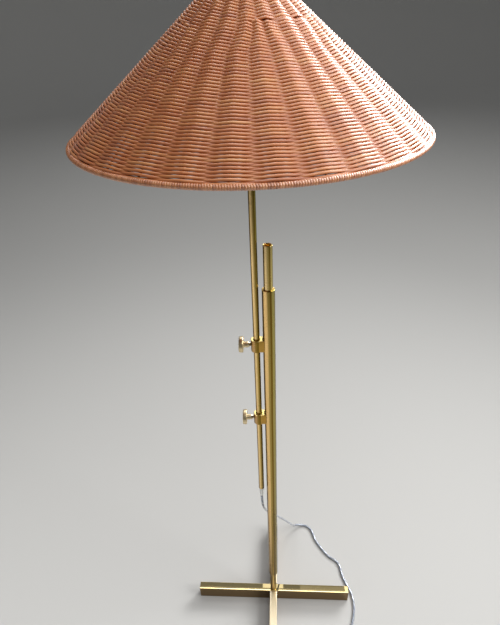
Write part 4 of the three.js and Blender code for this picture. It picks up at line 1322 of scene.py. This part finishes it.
floor = {"colour": tint(196, 195, 192), "radius": 7.0, "rise": 4.5, "bend": 2.6}
sky = {"Strength": 0.17, "Color": (0.96, 0.98, 1.0, 1.0)}
lights = {  # place, aim or None for straight down, size, power, and a narrow one's spread
    "key": ((2.9, -0.45, 2.6), (0.0, 0.0, 1.05), (2.1, 2.1), 88),
    "side": ((2.3, 2.7, 2.65), (0.1, -0.1, 1.5), (2.4, 1.9), 42, 60),
    "overhead": ((0.45, -0.5, 3.1), (0.45, -0.4, 0.0), (1.8, 1.8), 19),
    "back": ((-0.04, 1.289, 3.0), None, (1.3, 0.618), 12),
    "edge": ((-0.035, 1.611, 2.99), None, (1.31, 0.02), 0.022),
    "behind": ((-0.046, 1.66, 3.0), None, (1.33, 0.09), 0.019),
    "farRight": ((0.4, 1.66, 3.01), None, (0.44, 0.09), 0.022),
    "patch": ((-0.051, 1.67, 2.98), None, (0.174, 0.1), 0.057),
    "tip": ((0.59, 1.65, 2.98), None, (0.07, 0.12), 0.045),
    "rear": ((-0.15, 4.5, 4.0), (0.0, 0.0, 0.9), (2.0, 2.2), 30),
    "floorFill": ((-2.1, -1.3, 1.0), None, (1.6, 1.6), 14),
}


def floorSweep(colour, radius, bend, rise):
    # a round floor that curves up into a pale wall on every side
    outline = [(radius * share, 0.0) for share in (0.0, 0.05, 0.2, 0.5, 0.8)]
    for angle in (pi / 2 * i / 16 for i in range(17)):
        outline.append((radius + bend * sin(angle), bend * (1 - cos(angle))))
    outline = [(r / mm, z / mm, 0) for r, z in outline + [(radius + bend, rise)]]
    mesh = turned(outline, (0, 0, 0), sides=96, closed=False)
    if mesh.polygons[0].normal.z < 0:
        mesh.flip_normals()
    finish = newMaterial("paleFloor", Roughness=0.8, **{"Base Color": colour})
    mesh.materials.append(finish.material)
    linked("floor", mesh)


def softLight(name, place, aim, size, power, spread=180):
    data = bpy.data.lights.new(name, "AREA")
    data.shape = "RECTANGLE"
    data.size, data.size_y = size
    data.energy = power
    data.spread = radians(spread)
    light = linked(name, data)
    light.location = place
    way = Vector(aim or (*place[:2], 0.0)) - Vector(place)
    light.rotation_euler = way.to_track_quat("-Z", "Y").to_euler()


floorSweep(**floor)
for name, light in lights.items():
    softLight(name + "Light", *light)
world = bpy.data.worlds.new("studioSky")
world.use_nodes = True
bpy.context.scene.world = world
for label, value in sky.items():
    world.node_tree.nodes["Background"].inputs[label].default_value = value
bpy.context.scene.view_settings.view_transform = "Standard"
print("studio lit")
